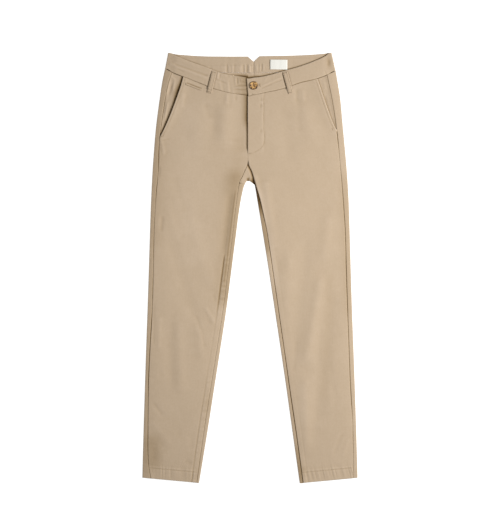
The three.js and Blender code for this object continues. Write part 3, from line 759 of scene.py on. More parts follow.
def from_path(path, x, y):
    """Distance of each point from a line of points."""
    nearest = np.full(np.broadcast(x, y).shape, 1e9)
    for (x1, y1), (x2, y2) in zip(path[:-1], path[1:]):
        dx, dy = x2 - x1, y2 - y1
        t = np.clip(((x - x1) * dx + (y - y1) * dy) / (dx * dx + dy * dy), 0, 1)
        nearest = np.minimum(nearest, np.hypot(x - x1 - t * dx, y - y1 - t * dy))
    return nearest


fly_path = smooth_path(J_STITCH["x"], J_STITCH["y"], 60)


def from_welt(x, y):
    """Distance above the welt's upper edge, and along it as a share."""
    (x1, y1), (x2, y2) = WELT["from"], WELT["to"]
    length = math.hypot(x2 - x1, y2 - y1)
    dx, dy = (x2 - x1) / length, (y2 - y1) / length
    return (y - y1) * dx - (x - x1) * dy, ((x - x1) * dx + (y - y1) * dy) / length


def in_slit(share):
    """1 along the coin pocket's opening, falling to 0 past its ends."""
    return ease((0.53 - np.abs(share - 0.5)) / 0.04)


def general_relief(x, y):
    """The slight unevenness that laid cloth has everywhere."""
    wide, narrow = JOGS
    return wide * rumple(x, y, 42, 11) + narrow * rumple(x, y, 13, 12)


# %% Relief of the hems
HEM_STITCH_DOWN = 1.5  # how far the stitched line lies below the top of the turned-up hem
HEM_STITCH = {"depth": 0.5, "width": 1.1, "ridge": 0.35, "ridge_width": 2.0}
HEM_ROPING = {"right": (3.6, 0.0), "left": (2.8, 0.25)}  # spacing and slant of the puckers
ROPING = {"height": 0.42, "down": 9, "reach": 15, "past": 14}
HEM_BULK = {"inseam": (0.5, 15), "side": (0.35, 8)}  # height and reach where a seam is folded up too


def hem_relief(leg, x, y):
    """Stitched line, slanting puckers and rolled edge of the turned-up hem."""
    up = y - leg.hem_y(x)
    stitched = HEM_STITCH["ridge"] * bump(up - HEM_DEPTH - HEM_STITCH_DOWN, HEM_STITCH["ridge_width"])
    stitched = stitched - HEM_STITCH["depth"] * bump(up - HEM_DEPTH + HEM_STITCH_DOWN, HEM_STITCH["width"])
    spacing, slant = HEM_ROPING[leg.name]
    roping = ROPING["height"] * ripple(x + slant * up, spacing, 31)
    roping = roping * bump(up - HEM_DEPTH + ROPING["down"], ROPING["reach"])
    roping = roping * (up < HEM_DEPTH + ROPING["past"])
    from_inseam = np.abs(leg.inward * (leg.inner(y) - x) - INSEAM_IN)
    bulk = 0
    for (height, reach), away in zip(HEM_BULK.values(), (from_inseam, np.abs(x - leg.seam(y)))):
        bulk = bulk + height * ease((up < HEM_DEPTH) * (reach - away) / 3)
    return stitched + roping + bulk - 0.5 * bump(up, 1.0)


# %% Relief of the fronts
side_shade = {leg.name: curve(SEAM_SHADE, "y", leg.name + "Side") for leg in LEGS}
inseam_shade = {leg.name: curve(SEAM_SHADE, "y", leg.name + "Inseam") for leg in LEGS}


def side_groove(leg, distance, y):
    """The side seam's groove, deep only where its two edges close over it."""
    return (0.25 + 0.75 * side_shade[leg.name](y)) * seam_groove(distance, SEAM_ROLL)


def edge_relief(leg, x, y):
    """The pocket mouth with its stitched line, and the side seam below it."""
    is_mouth = ease((y - leg.pocket_foot) / 3)
    edge_in = leg.across(leg.front_edge, x, y)
    z = side_groove(leg, edge_in, y) * (1 - is_mouth) + seam_groove(edge_in, EDGE_ROLL) * is_mouth
    z -= TOPSTITCH["depth"] * bump(edge_in - TOPSTITCH["in"], TOPSTITCH["width"]) * is_mouth
    z += MOUTH_PUCKER * is_mouth * puckers(np.abs(edge_in - TOPSTITCH["in"]), y, 5, 3, 21)
    return z + SIDE_PUCKER[leg.name] * (1 - is_mouth) * puckers(edge_in, y, 8, 9, 22)


def inseam_relief(leg, x, y):
    """The inseam, and its allowance, which shows as a low step with rungs across it."""
    inseam_in = -leg.across(leg.inseam, x, y)
    below_fork = ease((FORK["y"].max() - 22 - y) / 10)
    step = ALLOWANCE["rise"] * ease((ALLOWANCE["width"] - inseam_in) / ALLOWANCE["step"])
    from_step = inseam_in - ALLOWANCE["width"] - ALLOWANCE_EDGE["out"]
    step = step - ALLOWANCE_EDGE["depth"] * bump(from_step, ALLOWANCE_EDGE["width"])
    rungs = ripple(y, LADDER_SPACING, 23 if leg is right else 24)
    rungs = rungs * ease((ALLOWANCE["width"] + 2 - inseam_in) / 4)
    shows = curve(LADDER, "y", leg.name)(y)
    groove = seam_groove(inseam_in, SEAM_ROLL) * below_fork * INSEAM_GROOVE[leg.name]
    return groove + shows * (step + INSEAM_PUCKER[leg.name] * rungs)


def closing_relief(leg, x, y):
    """The left front's edge and stitched line at the fly, or the right one's coin pocket."""
    if leg is right:
        above, share = from_welt(x, y)
        return -SLIT["depth"] * bump(above - SLIT["above"], SLIT["width"]) * in_slit(share)
    near = from_path(fly_path, x, y)
    edge = seam_groove(x - FLY["edge"], EDGE_ROLL) * ease((y - FLY["bottom"] + 30) / 10)
    pulled = FLY_PUCKER * ripple(y, 6, 26) * np.exp(-near / 4) * (y > FLY["bottom"] - 14)
    return edge - FLY_STITCH["depth"] * bump(near, FLY_STITCH["width"]) + pulled


def front_surface(leg, x, y):
    """Top of a front, with all its relief."""
    waist_in = leg.front_seam(x) - SEAM_GAP - y
    waist = WAIST_GROOVE * seam_groove(waist_in, SEAM_ROLL) + WAIST_PUCKER * puckers(waist_in, x, 7, 7, 25)
    gain = mix(CREASE_GAIN["shin"], CREASE_GAIN["seat"], ease(y / 150))
    seams = edge_relief(leg, x, y) + inseam_relief(leg, x, y) + waist + closing_relief(leg, x, y)
    creases = gain * fold_height(CREASES, x, y, CREASE_END)
    return front_form(leg, x, y) + seams + hem_relief(leg, x, y) + creases + general_relief(x, y)


print("fly stitching", round(float(np.hypot(*np.diff(fly_path, axis=0).T).sum())), "mm long")

# %% [markdown]
# ## From a grid to a shell
#
# A shell is two grids, the outside and the inside of the cloth, joined round the rim. Blender could add
# the thickness with a Solidify modifier, but here the two sides differ, so both are given. Each vertex
# also carries a number, tone, that paints light and shade into the colour: below 1 is painted shade, deep
# in a groove or a gap where little light comes back out, and above 1 is a paler raised edge, as wear and
# as a painted highlight. The cloth's material reads it, with the grain.

# %% Make a mesh object from points and faces
TONE_LIMITS = (0.06, 1.3)


def add_object(name, points, faces, material):
    """A smooth mesh object from points in millimetres, riding on the garment's one body."""
    mesh = bpy.data.meshes.new(name)
    mesh.from_pydata((points * MM).tolist(), [], faces)
    mesh.polygons.foreach_set("use_smooth", np.ones(len(mesh.polygons), bool))
    mesh.materials.append(material)
    obj = bpy.data.objects.new(name, mesh)
    bpy.context.scene.collection.objects.link(obj)
    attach(obj, "root")
    return obj


def add_cloth_numbers(mesh, tone, grain):
    """Give each vertex its tone, and its place in the flat cloth."""
    tone = np.clip(tone, *TONE_LIMITS).astype(np.float32)
    mesh.attributes.new("tone", "FLOAT", "POINT").data.foreach_set("value", tone)
    flat = (grain * MM).astype(np.float32).ravel()
    mesh.attributes.new("grain", "FLOAT_VECTOR", "POINT").data.foreach_set("vector", flat)


# %% Faces and sizes of a shell
def grid_faces(rows, columns):
    """Quads of a closed shell between two grids of the same size."""
    a = np.arange(rows * columns).reshape(rows, columns)
    b = a + rows * columns
    sides = [
        (a[:-1, :-1], a[:-1, 1:], a[1:, 1:], a[1:, :-1]),
        (b[:-1, :-1], b[1:, :-1], b[1:, 1:], b[:-1, 1:]),
        (a[:-1, 0], a[1:, 0], b[1:, 0], b[:-1, 0]),
        (a[1:, -1], a[:-1, -1], b[:-1, -1], b[1:, -1]),
        (a[0, 1:], a[0, :-1], b[0, :-1], b[0, 1:]),
        (a[-1, :-1], a[-1, 1:], b[-1, 1:], b[-1, :-1]),
    ]
    return np.concatenate([np.stack([c.ravel() for c in quad], axis=-1) for quad in sides])


def outward(points, faces):
    """The faces, turned round if they enclose a negative volume."""
    a, b, c, d = (points[faces[:, i]] for i in range(4))
    volume = (a * np.cross(b, c)).sum() + (a * np.cross(c, d)).sum()
    return faces if volume > 0 else faces[:, ::-1]


# %% Painted shade in the hollows and painted light on the ridges
HOLLOW = {"reach": 3, "limit": 0.6, "amount": 0.20}


def painted_relief_shade(z):
    """Painted shade and light: a tone lower where a point lies below the mean of its neighbours, and higher
    where it lies above it.
    """
    reach = HOLLOW["reach"]
    windows = np.lib.stride_tricks.sliding_window_view(np.pad(z, reach, mode="edge"), (2 * reach + 1,) * 2)
    below = np.clip(z - windows.mean(axis=(2, 3)), -HOLLOW["limit"], HOLLOW["limit"])
    return 1 + HOLLOW["amount"] * below


def sheet_points(x, y, z):
    """A grid of points from three grids. z may be one number."""
    return np.stack([x, y, z + 0 * x], axis=-1)


def shell(name, outside, inside, material, tone=None, tone_inside=None):
    """A closed sheet of cloth. The grain follows the cloth round its folds."""
    rows, columns = outside.shape[:2]
    points = np.concatenate([outside.reshape(-1, 3), inside.reshape(-1, 3)])
    run = np.hypot(*np.moveaxis(np.diff(outside[..., [0, 2]], axis=1), -1, 0))
    start = outside[:, :1, 0]
    along = np.concatenate([start, start + np.cumsum(run, axis=1)], axis=1)
    grain = np.stack([along, outside[..., 1], np.zeros_like(along)], axis=-1).reshape(-1, 3)
    faces = outward(points, grid_faces(rows, columns))
    plain = np.ones((rows, columns))
    tones = [(plain if given is None else given).ravel() for given in (tone, tone_inside)]
    obj = add_object(name, points, faces.tolist(), material)
    add_cloth_numbers(obj.data, np.concatenate(tones), np.concatenate([grain, grain]))
    return obj


# %% Rows and columns that are close together where the detail is
EDGE_STEPS = np.array([0, 0.35, 0.75, 1.25, 1.9, 2.8, 4.0, 5.3, 6.8])  # from an edge inward
LEG_LENGTH = 970.0
PANEL_ROW, HEM_ROW = 2.75, 1.5  # between two rows of the grid
ROW_TRIES = 14  # a row's end is found by trying this often


def panel_shares():
    """Shares of the way from waist to hem: close at both ends and in the hem."""
    body = np.arange(9.0, LEG_LENGTH - HEM_DEPTH - 8, PANEL_ROW)
    hem = np.arange(LEG_LENGTH - HEM_DEPTH - 6, LEG_LENGTH - 8, HEM_ROW)
    down = np.concatenate([EDGE_STEPS, body, hem, LEG_LENGTH - EDGE_STEPS[::-1]])
    return np.unique(down / LEG_LENGTH)


def column_shares(width, count):
    """For each row, shares across it that step finely at both edges."""
    width = np.asarray(width, float)[:, None]
    near = EDGE_STEPS[None, :] / width
    middle = np.linspace(0, 1, count - 2 * len(EDGE_STEPS) + 2)[None, 1:-1]
    inner = mix(near[:, -1:], 1 - near[:, -1:], middle)
    return np.concatenate([near, inner, 1 - near[:, ::-1]], axis=1)


def row_end(leg, top, edge, share):
    """Where a row that runs from a top line to the hem meets an edge of the panel."""
    y = mix(480.0, -530.0, share)
    for _ in range(ROW_TRIES):
        x = edge(y)
        y = mix(top(x), leg.hem_y(x), share)
    return edge(y), y


print("rows down a panel", len(panel_shares()))

# %% [markdown]
# ## Cotton twill
#
# Chino cloth is a cotton twill: fine diagonal ribs about half a millimetre apart, with yarns that are
# a little uneven, dyed khaki and matt. A photo texture would give that from one side only, so the
# material is built from nodes. A wave texture gives the ribs and a noise the yarns, both as bump. Soft
# noises vary the colour over the garment, and the tone number paints shade into grooves and gaps and
# makes raised edges paler, as wear and as a painted highlight. Sheen gives the soft pale edge of brushed
# cotton.

# %% Node helpers
def new_material(name):
    material = bpy.data.materials.new(name)
    material.use_nodes = True
    tree = material.node_tree
    return material, tree, tree.nodes["Principled BSDF"]


def add_node(tree, kind, settings=None, **inputs):
    """A node with its settings and inputs. An input is a number, a colour or another node's output."""
    node = tree.nodes.new(kind)
    for key, value in (settings or {}).items():
        setattr(node, key, value)
    for key, value in inputs.items():
        socket = node.inputs[int(key[1:])] if key[0] == "i" and key[1:].isdigit() else node.inputs[key]
        if isinstance(value, bpy.types.NodeSocket):
            tree.links.new(value, socket)
        else:
            socket.default_value = value
    return node


def calculate(tree, operation, a, b, c=0.0):
    node = add_node(tree, "ShaderNodeMath", {"operation": operation}, i0=a, i1=b, i2=c)
    return node.outputs[0]


def stretched(tree, vector, scale):
    node = add_node(tree, "ShaderNodeVectorMath", {"operation": "MULTIPLY"}, i0=vector, i1=scale)
    return node.outputs[0]


def noise(tree, vector, scale, detail=2.0):
    return add_node(tree, "ShaderNodeTexNoise", Vector=vector, Scale=scale, Detail=detail).outputs[0]


# %% The twill material
TWILL_RIBS = 740.0  # wave scale for ribs 0.6 mm apart, in coordinates of metres
KHAKI = (0.448, 0.345, 0.241)
SHADE_POWERS = (0.84, 1.0, 1.35)  # painted shade turns browner: red falls least and blue most


def twill(name, colour):
    material, tree, shader = new_material(name)
    grain = add_node(tree, "ShaderNodeAttribute", {"attribute_name": "grain"}).outputs["Vector"]
    tone = add_node(tree, "ShaderNodeAttribute", {"attribute_name": "tone"}).outputs["Fac"]
    bands = {"wave_type": "BANDS", "bands_direction": "DIAGONAL"}
    ribs = add_node(tree, "ShaderNodeTexWave", bands, Vector=grain, Scale=TWILL_RIBS, Distortion=1.2)
    yarns = noise(tree, grain, 1300.0)
    slubs = noise(tree, stretched(tree, grain, (420.0, 30.0, 1.0)), 1.0)
    clouds = noise(tree, grain, 16.0, 3.0)
    specks = noise(tree, grain, 190.0)
    shade = calculate(tree, "MULTIPLY_ADD", clouds, 0.07, 0.965)
    shade = calculate(tree, "MULTIPLY_ADD", slubs, 0.07, calculate(tree, "SUBTRACT", shade, 0.035))
    shade = calculate(tree, "MULTIPLY_ADD", specks, 0.09, calculate(tree, "SUBTRACT", shade, 0.045))
    shades = [calculate(tree, "POWER", calculate(tree, "MULTIPLY", shade, tone), p) for p in SHADE_POWERS]
    warm = add_node(tree, "ShaderNodeCombineXYZ", X=shades[0], Y=shades[1], Z=shades[2])
    paint = add_node(tree, "ShaderNodeVectorMath", {"operation": "MULTIPLY"}, i0=colour, i1=warm.outputs[0])
    tree.links.new(paint.outputs[0], shader.inputs["Base Color"])
    height = calculate(tree, "MULTIPLY_ADD", yarns, 0.5, ribs.outputs["Fac"])
    relief = add_node(tree, "ShaderNodeBump", Strength=0.35, Distance=0.00012, Height=height)
    tree.links.new(relief.outputs[0], shader.inputs["Normal"])
    rough = add_node(tree, "ShaderNodeMapRange", Value=yarns, i3=0.82, i4=0.95)
    tree.links.new(rough.outputs[0], shader.inputs["Roughness"])
    shader.inputs["Specular IOR Level"].default_value = 0.06
    shader.inputs["Sheen Weight"].default_value = 0.03
    shader.inputs["Sheen Roughness"].default_value = 0.5
    return material


cotton_twill = twill("cotton_twill", KHAKI)
print("twill colour", KHAKI)

# %% [markdown]
# ## The fronts
#
# Each front runs from the pocket mouth and the side seam to the fly, the fork and the inseam. It is laid
# out as rows from the waist to the hem. Rows and columns are finest at the edges, where the cloth rolls
# into a seam within a millimetre.

# %% Broad patches of painted shade and painted light
SHADE_PATCHES = table(
    FOLD_COLUMNS,
    (-22, 350, -38, 190, 17, -0.07),
    (-36, 262, -62, -110, 25, -0.22),
    (18, 215, 62, -70, 13, 0.16),
    (-152, 430, -148, -10, 36, 0.05),
    (-231, 380, -232, 30, 17, -0.06),
    (236, 250, 246, -140, 15, -0.1),
    (202, 0, 182, -340, 14, -0.05),
    (-246, -400, -240, -520, 22, -0.2),
    (128, -270, 136, -410, 12, 0.06),
    (-100, -300, -108, -380, 12, -0.08),
    (128, -480, 134, -530, 10, -0.12),
)


def painted_shade_patches(x, y):
    """Painted shade and light in long soft bands, drawn with the folds' own function."""
    return 1 + fold_height(SHADE_PATCHES, x, y)


# %% How deep the shade is on the fronts
SHADE_REACH = 0.95
TOPMOST = FORK["y"].max()
WORN_AND_LIT = {"in": 0.8, "width": 1.6, "mouth": 0.08, "fly": 0.10}  # edges are paler by this, as wear and as a painted highlight on the raised edge
STITCH_SHADE = {"mouth": 0.08, "hem": 0.10, "fly": 0.10}  # and painted shade darkens stitched lines by this
# the hem's folded edge is paler by this, as wear and as a painted highlight
HEM_WORN_AND_LIT = {"paler": 0.06, "width": 1.5}
SECOND_LINE = {"in": 6.0, "depth": 0.35, "top": 190, "foot": -35}  # painted shade along a pressed line beside the inseam
LADDER_SHADE = table("y depth", (35, 0.0), (20, 0.6), (-80, 0.55), (-120, 0.05), (-310, 0.08), (-480, 0.15))
SLIT_SHADE = 0.45
LAP_SHADE = {"wide": 0.5, "reach": 11, "from": 340}  # what the left front throws on the right one
# a narrow painted shadow beside the fly's edge, widest at one height
LAP_LINE = {"depth": 0.8, "reach": 2.8, "more": 1.8, "widest": 372, "half": 24}
waist_shade = curve(WAIST_SHADE, "x", "depth")
band_shadow = curve(BAND_SHADOW, "x", "depth")


def within(value, low, high, soft):
    """1 between two limits, falling softly to 0 outside them."""
    return ease((value - low) / soft + 0.5) * ease((high - value) / soft + 0.5)


def seam_tone(leg, x, y):
    """Shade of the side seam and the inseam, the same on both pieces that meet there."""
    side = side_shade[leg.name](y) * ease((leg.pocket_foot - y) / 3 + 0.5)
    inseam = inseam_shade[leg.name](y) * ease((TOPMOST - 4 - y) / 6)
    side = side * bump(leg.across(leg.seam, x, y), SHADE_REACH)
    return (1 - side) * (1 - inseam * bump(leg.across(leg.inseam, x, y), SHADE_REACH))


def left_front_tone(x, y):
    """A paler edge of the fly, as wear and painted highlight, and painted shade in its stitched line."""
    worn_and_lit = WORN_AND_LIT["fly"] * bump(x - FLY["edge"] - WORN_AND_LIT["in"], WORN_AND_LIT["width"]) * (y > TOPMOST + 70)
    return (1 + worn_and_lit) * (1 - STITCH_SHADE["fly"] * bump(from_path(fly_path, x, y), 1.0))


def right_front_tone(x, y):
    """Painted shade: lines beside the inseam, the coin pocket's slit, and the shadow of the left front."""
    inseam_in = -right.across(right.inseam, x, y)
    line = SECOND_LINE["depth"] * within(y, SECOND_LINE["foot"], SECOND_LINE["top"], 20)
    line = line * bump(inseam_in - SECOND_LINE["in"], 1.2)
    ladder = curve(LADDER_SHADE, "y", "depth")(y) * (y < 40)
    ladder = ladder * bump(inseam_in - ALLOWANCE["width"] - ALLOWANCE_EDGE["out"], 1.3)
    above, share = from_welt(x, y)
    slit = SLIT_SHADE * bump(above - SLIT["above"], SLIT["width"]) * in_slit(share)
    beside_fly = np.maximum(0, FLY["edge"] - x)
    wide = LAP_SHADE["wide"] * ease((y - LAP_SHADE["from"]) / 40) * bump(beside_fly, LAP_SHADE["reach"])
    reach = LAP_LINE["reach"] + LAP_LINE["more"] * bump(y - LAP_LINE["widest"], LAP_LINE["half"])
    narrow = LAP_LINE["depth"] * ease((y - FLY["bottom"]) / 10) * bump(beside_fly, reach)
    return (1 - line) * (1 - ladder) * (1 - slit) * (1 - wide) * (1 - narrow)


def front_tone(leg, x, y):
    """Shade of a whole front."""
    edge_in = leg.across(leg.front_edge, x, y)
    mouth = WORN_AND_LIT["mouth"] * bump(edge_in - WORN_AND_LIT["in"], WORN_AND_LIT["width"])
    mouth = mouth - STITCH_SHADE["mouth"] * bump(edge_in - TOPSTITCH["in"], 1.1)
    tone = seam_tone(leg, x, y) * painted_shade_patches(x, y) * (1 + ease((y - leg.pocket_foot) / 3) * mouth)
    tone = tone * (1 - waist_shade(x) * bump(leg.front_seam(x) - y, SHADE_REACH))
    up = y - leg.hem_y(x)
    hem = HEM_WORN_AND_LIT["paler"] * bump(up, HEM_WORN_AND_LIT["width"])
    hem = hem - STITCH_SHADE["hem"] * bump(up - HEM_DEPTH + HEM_STITCH_DOWN, 1.2)
    return tone * (1 + hem) * (left_front_tone(x, y) if leg is left else right_front_tone(x, y))


# %% Build the two fronts
FRONT_COLUMNS = 104


def front_plan(leg):
    """X and Y of a front's grid, a small gap inside its seams."""
    share = panel_shares()

    def top(x):
        return leg.front_seam(x) - SEAM_GAP

    def outer_edge(y):
        return leg.front_edge(y) + leg.inward * SEAM_GAP / 2

    def inner_edge(y):
        if leg is left:
            fly = FLY["edge"] + 0 * y
        else:
            fly = FLY["edge"] - SEAM_GAP + FLY["lap"] * ease((y - FLY["bottom"] - 14) / 12)
        return np.where(y < TOPMOST, leg.inseam(y) - leg.inward * SEAM_GAP / 2, fly)

    x0, _ = row_end(leg, top, outer_edge, share)
    x1, _ = row_end(leg, top, inner_edge, share)
    t = column_shares(np.abs(x1 - x0), FRONT_COLUMNS)
    x = mix(x0[:, None], x1[:, None], t)
    y = mix(top(x), leg.hem_y(x), share[:, None])
    return x, y


for leg in LEGS:
    x, y = front_plan(leg)
    outside = sheet_points(x, y, front_surface(leg, x, y))
    tone = front_tone(leg, x, y) * painted_relief_shade(outside[..., 2])
    front = shell("front_panel_" + leg.name, outside, outside - [0, 0, CLOTH], cotton_twill, tone)
    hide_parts("front_" + leg.name)

# %% [markdown]
# ## The backs
#
# A back panel lies underneath, flat on the table, and comes round both edges of the leg to the front:
# that is why the seams show a centimetre in from the outline. A section across it has five stretches:
# a strip on top, a round fold, the flat part, another fold and another strip. Above the crotch the inner
# fold opens out to the centre back seam. Between the fronts, just under the fly, the right back is seen
# again as a small tongue that arches down to the crotch.

# %% Sections of a back panel
FOLD_STEPS = 9
STRIP_SHARES = np.array([0.12, 0.25, 0.38, 0.5, 0.62, 0.73, 0.82, 0.89, 0.94, 0.975, 1.0])
FLAT_COLUMNS = 14
TWIST_LENGTH, TWIST_ROWS = 7, 7  # at the crotch the panel turns from flat to rolled
ROW_CLEAR = 0.003  # other rows keep this share of the length clear of those
CENTRE_GAP = 0.01  # the halves meet, so that the light of the table doesn't show between them
STRIP_PUCKER = {"right": 0.30, "left": 0.10}
INNER_STRIP_PUCKER = 0.12
SHORTEST_STRIP = 0.6
SUNK_STRIP = {"low": 60, "high": 190, "share": 0.42}  # left back, beside the crotch, pressed down
SUNK_LEVEL = CLOTH + 0.6
HALF_STEPS = np.linspace(0, 1, FOLD_STEPS)


def strip_relief(leg, x, y, side):
    """Seam, rungs and hem on a strip that comes round to the front."""
    if side == "outer":
        from_fold, amount = from_outer(leg, x, y), STRIP_PUCKER[leg.name]
        groove = side_groove(leg, np.abs(leg.across(leg.seam, x, y)), y)
    else:
        from_fold, amount = from_inner(leg, x, y), INNER_STRIP_PUCKER
        groove = INSEAM_GROOVE[leg.name] * seam_groove(np.abs(leg.across(leg.inseam, x, y)), SEAM_ROLL)
    rungs = amount * ripple(y, LADDER_SPACING, 41 if leg is right else 42) * ease(from_fold / 3)
    up = y - leg.hem_y(x)
    stitched = -0.35 * bump(up - HEM_DEPTH + HEM_STITCH_DOWN, HEM_STITCH["width"]) * ease(from_fold / 2)
    return groove + rungs + stitched - 0.4 * bump(up, 1.0)


def rolled(edge_x, y, inward, radius, thickness, turn, top):
    """Points of the cloth rolled round an edge, outside and inside, as rows of x, y, z."""
    angle = math.pi * turn * HALF_STEPS
    middle = edge_x + inward * radius
    lift = mix(1.0, top / (2 * radius), (1 - np.cos(angle)) / 2)

    def reach(r):
        x = middle - inward * r * np.sin(angle)
        return np.stack([x, np.full_like(x, y), (radius - r * np.cos(angle)) * lift], axis=-1)

    return reach(radius), reach(radius - thickness)


def sunk(leg, y):
    """How far the inner strip is pressed down, as a share."""
    if leg is right:
        return 0.0
    rise = ease((y - SUNK_STRIP["low"]) / (SUNK_STRIP["high"] - SUNK_STRIP["low"]))
    return SUNK_STRIP["share"] * rise


def strip(leg, start, end, side):
    """The stretch of a back that lies on top, from its fold to its seam."""
    x = mix(start[0], end[0], STRIP_SHARES)
    y = mix(start[1], end[1], STRIP_SHARES)
    z = upper_surface(leg, x, y) + strip_relief(leg, x, y, side)
    if side == "inner":
        z = mix(z, SUNK_LEVEL, sunk(leg, y))
    outside = sheet_points(x, y, z)
    return outside, outside - [0, 0, CLOTH]


def back_rows(leg):
    """Shares of the way down and how far the inner edge is rolled at each."""
    crotch_x = leg.inner(np.array(float(CROTCH)))
    top = leg.back_seam(crotch_x) - SEAM_GAP
    length = top - leg.hem_y(crotch_x)
    split, twist = (top - CROTCH) / length, TWIST_LENGTH / length
    shares = panel_shares()
    above = [(s, 0.0) for s in shares[shares < split - ROW_CLEAR]]
    between = [(split + twist * t, t) for t in np.linspace(0, 1, TWIST_ROWS)]
    below = [(s, 1.0) for s in shares[shares > split + twist + ROW_CLEAR]]
    return above + between + below


def inner_side(leg, end_x, end_y, turn):
    """Outside and inside of the inner fold, and of the strip or the short end after it."""
    inward = leg.inward
    top = upper_surface(leg, np.array(end_x - inward * FOLD_RADIUS), np.array(end_y))
    top = mix(top, SUNK_LEVEL, sunk(leg, end_y))
    fold_out, fold_in = rolled(end_x, end_y, -inward, FOLD_RADIUS, CLOTH, turn, top)
    if turn < 1:
        angle = math.pi * turn
        step = np.array([inward * math.cos(angle), 0, math.sin(angle)]) * SHORTEST_STRIP
        after = [fold[-1] + step * STRIP_SHARES[:, None] for fold in (fold_out, fold_in)]
    else:
        inseam_x = float(leg.inseam(np.array(end_y))) + inward * SEAM_GAP / 2
        last_x = fold_out[-1][0]
        shortest = last_x - inward * SHORTEST_STRIP
        goal = inseam_x if inward * (shortest - inseam_x) > 0 else shortest
        after = strip(leg, (last_x, end_y), (goal, end_y), "inner")
    return [fold_out, after[0]], [fold_in, after[1]]


def back_section(leg, share, turn):
    """One row of a back: strip, fold, flat part, and below the crotch the inner fold and strip."""
    inward = leg.inward

    def back_top(x):
        return leg.back_seam(x) - SEAM_GAP

    def front_line(x):
        return leg.front_seam(x) - SEAM_GAP

    def seam_edge(y):
        return leg.seam(y) - inward * SEAM_GAP / 2

    def centre_edge(y):
        return centre_back(y) - inward * CENTRE_GAP

    outer_x, outer_y = row_end(leg, front_line, leg.outer, share)
    seam_end = row_end(leg, front_line, seam_edge, share)
    start = (outer_x + inward * FOLD_RADIUS, outer_y)
    top = upper_surface(leg, np.array(start[0]), np.array(start[1]))
    strip_out, strip_in = strip(leg, start, seam_end, "outer")
    fold_out, fold_in = rolled(outer_x, outer_y, inward, FOLD_RADIUS, CLOTH, 1.0, top)
    end_x, end_y = row_end(leg, back_top, centre_edge if turn == 0 else leg.inner, share)
    limit = leg.inner(np.minimum(end_y, CROTCH)) if turn == 0 else end_x
    flat_end = limit - inward * FOLD_RADIUS
    t = np.linspace(0, 1, FLAT_COLUMNS + 2)[1:-1]
    x = mix(start[0], flat_end, t)
    y = mix(outer_y, mix(back_top(x), leg.hem_y(x), share), ease(t * 6))
    steps = FOLD_STEPS + len(STRIP_SHARES)
    if turn == 0:
        x_in = mix(flat_end, end_x, np.linspace(0, 1, steps))
        x = np.concatenate([x, x_in])
        y = np.concatenate([y, mix(back_top(x_in), leg.hem_y(x_in), share)])
    flat_out = sheet_points(x, y, 0.0)
    inner_out, inner_in = inner_side(leg, end_x, end_y, turn) if turn > 0 else ([], [])
    outs = [strip_out[::-1], fold_out[::-1], flat_out, *inner_out]
    ins = [strip_in[::-1], fold_in[::-1], flat_out + [0, 0, CLOTH], *inner_in]
    return np.concatenate(outs), np.concatenate(ins)


# %% The inside of the backs, seen below the waistband
OPEN_SEAM = {"half": 20, "rise": 0.45, "groove": 0.5, "width": 1.2}  # pressed open, at the centre back
BAND_GATHER = {"height": 0.35, "down": 30, "middle": -45, "half": 75}


def inside_relief(x, y, z):
    """The seam allowances of the centre back seam, and puckers under the band."""
    from_seam = np.abs(x - centre_back(y))
    z = z + OPEN_SEAM["rise"] * ease((OPEN_SEAM["half"] - from_seam) / 2)
    z = z - OPEN_SEAM["groove"] * bump(from_seam, OPEN_SEAM["width"])
    gathered = bump(right.back_seam(x) - y, BAND_GATHER["down"])
    gathered = gathered * bump(x - BAND_GATHER["middle"], BAND_GATHER["half"])
    return z + BAND_GATHER["height"] * gathered * ripple(x, 7, 51)


# %% The tongue between the fronts
TONGUE_FOOT = table(
    "x y",
    (-26, 213),
    (-17, 210.5),
    (-11, 214),
    (-6, 218.6),
    (-1, 217.2),
    (5, 213.2),
    (11, 208.2),
    (20, 200),
)
TONGUE = {"top": 262, "under": 5, "rows": 40, "columns": 44, "thickness": 0.8}
TONGUE_KNOT = {"x": 2, "y": 224, "slant": 0.6, "height": 0.6, "reach": 3.0}  # where four seams meet
TONGUE_PIT = {"x": -4, "y": 222, "slant": 0.7, "height": -0.7, "reach": 2.6}


def dent(spot, x, y):
    """A small hill or pit at one place, stretched up the garment."""
    return spot["height"] * bump(np.hypot(x - spot["x"], (y - spot["y"]) * spot["slant"]), spot["reach"])


def tongue_shell():
    """Outside and inside of the back's cloth where it shows between the fronts."""
    foot = curve(TONGUE_FOOT, "x", "y")
    u = np.linspace(0, 1, TONGUE["columns"])[None, :]
    v = np.linspace(0, 1, TONGUE["rows"])[:, None]
    y = mix(214.0, TONGUE["top"], v) + 0 * u
    for _ in range(16):
        x = mix(right.inseam(y) + 0.5, left.fork(y) + TONGUE["under"], u)
        y = mix(foot(x), TONGUE["top"], v)
    up = y - foot(x)
    cover = left.fork(y) - x  # how far a point is from the left front's edge
    high = upper_surface(right, x, y) + 0.15
    under = front_form(left, left.fork(y) + 0 * x, y) - CLOTH - 2.2
    z = mix(high, np.minimum(under, high), ease(1 - (cover + 2) / 11))
    z = z - 1.5 * bump(up, 2.2) * ease((x + 13) / 6)
    z = z - 0.25 * bump(right.across(right.fork, x, y) - SEAM_GAP, 1.0)
    z = z + dent(TONGUE_KNOT, x, y) + dent(TONGUE_PIT, x, y)
    outside = sheet_points(x, y, np.maximum(z, CLOTH + 0.4))
    return outside, outside - [0, 0, TONGUE["thickness"]]


# %% Shade on the backs
OUTER_STRIP_SHADE = 0.08  # the right back's strip turns away from the lamp
INNER_STRIP_SHADE = table(  # the left back's inner strip lies in the shade of its front
    "y tone",
    (215, 0.12),
    (170, 0.15),
    (155, 0.25),
    (140, 0.45),
    (125, 0.6),
    (50, 0.65),
    (35, 0.8),
    (0, 0.92),
    (-430, 0.92),
    (-470, 0.72),
    (-530, 0.7),
)


HALF_LEG = 150  # an inner strip lies nearer the middle than this, and an outer one further out
UNDER_BAND = {"depth": 0.95, "reach": 2.6, "more": 2.4, "middle": -4, "half": 28}


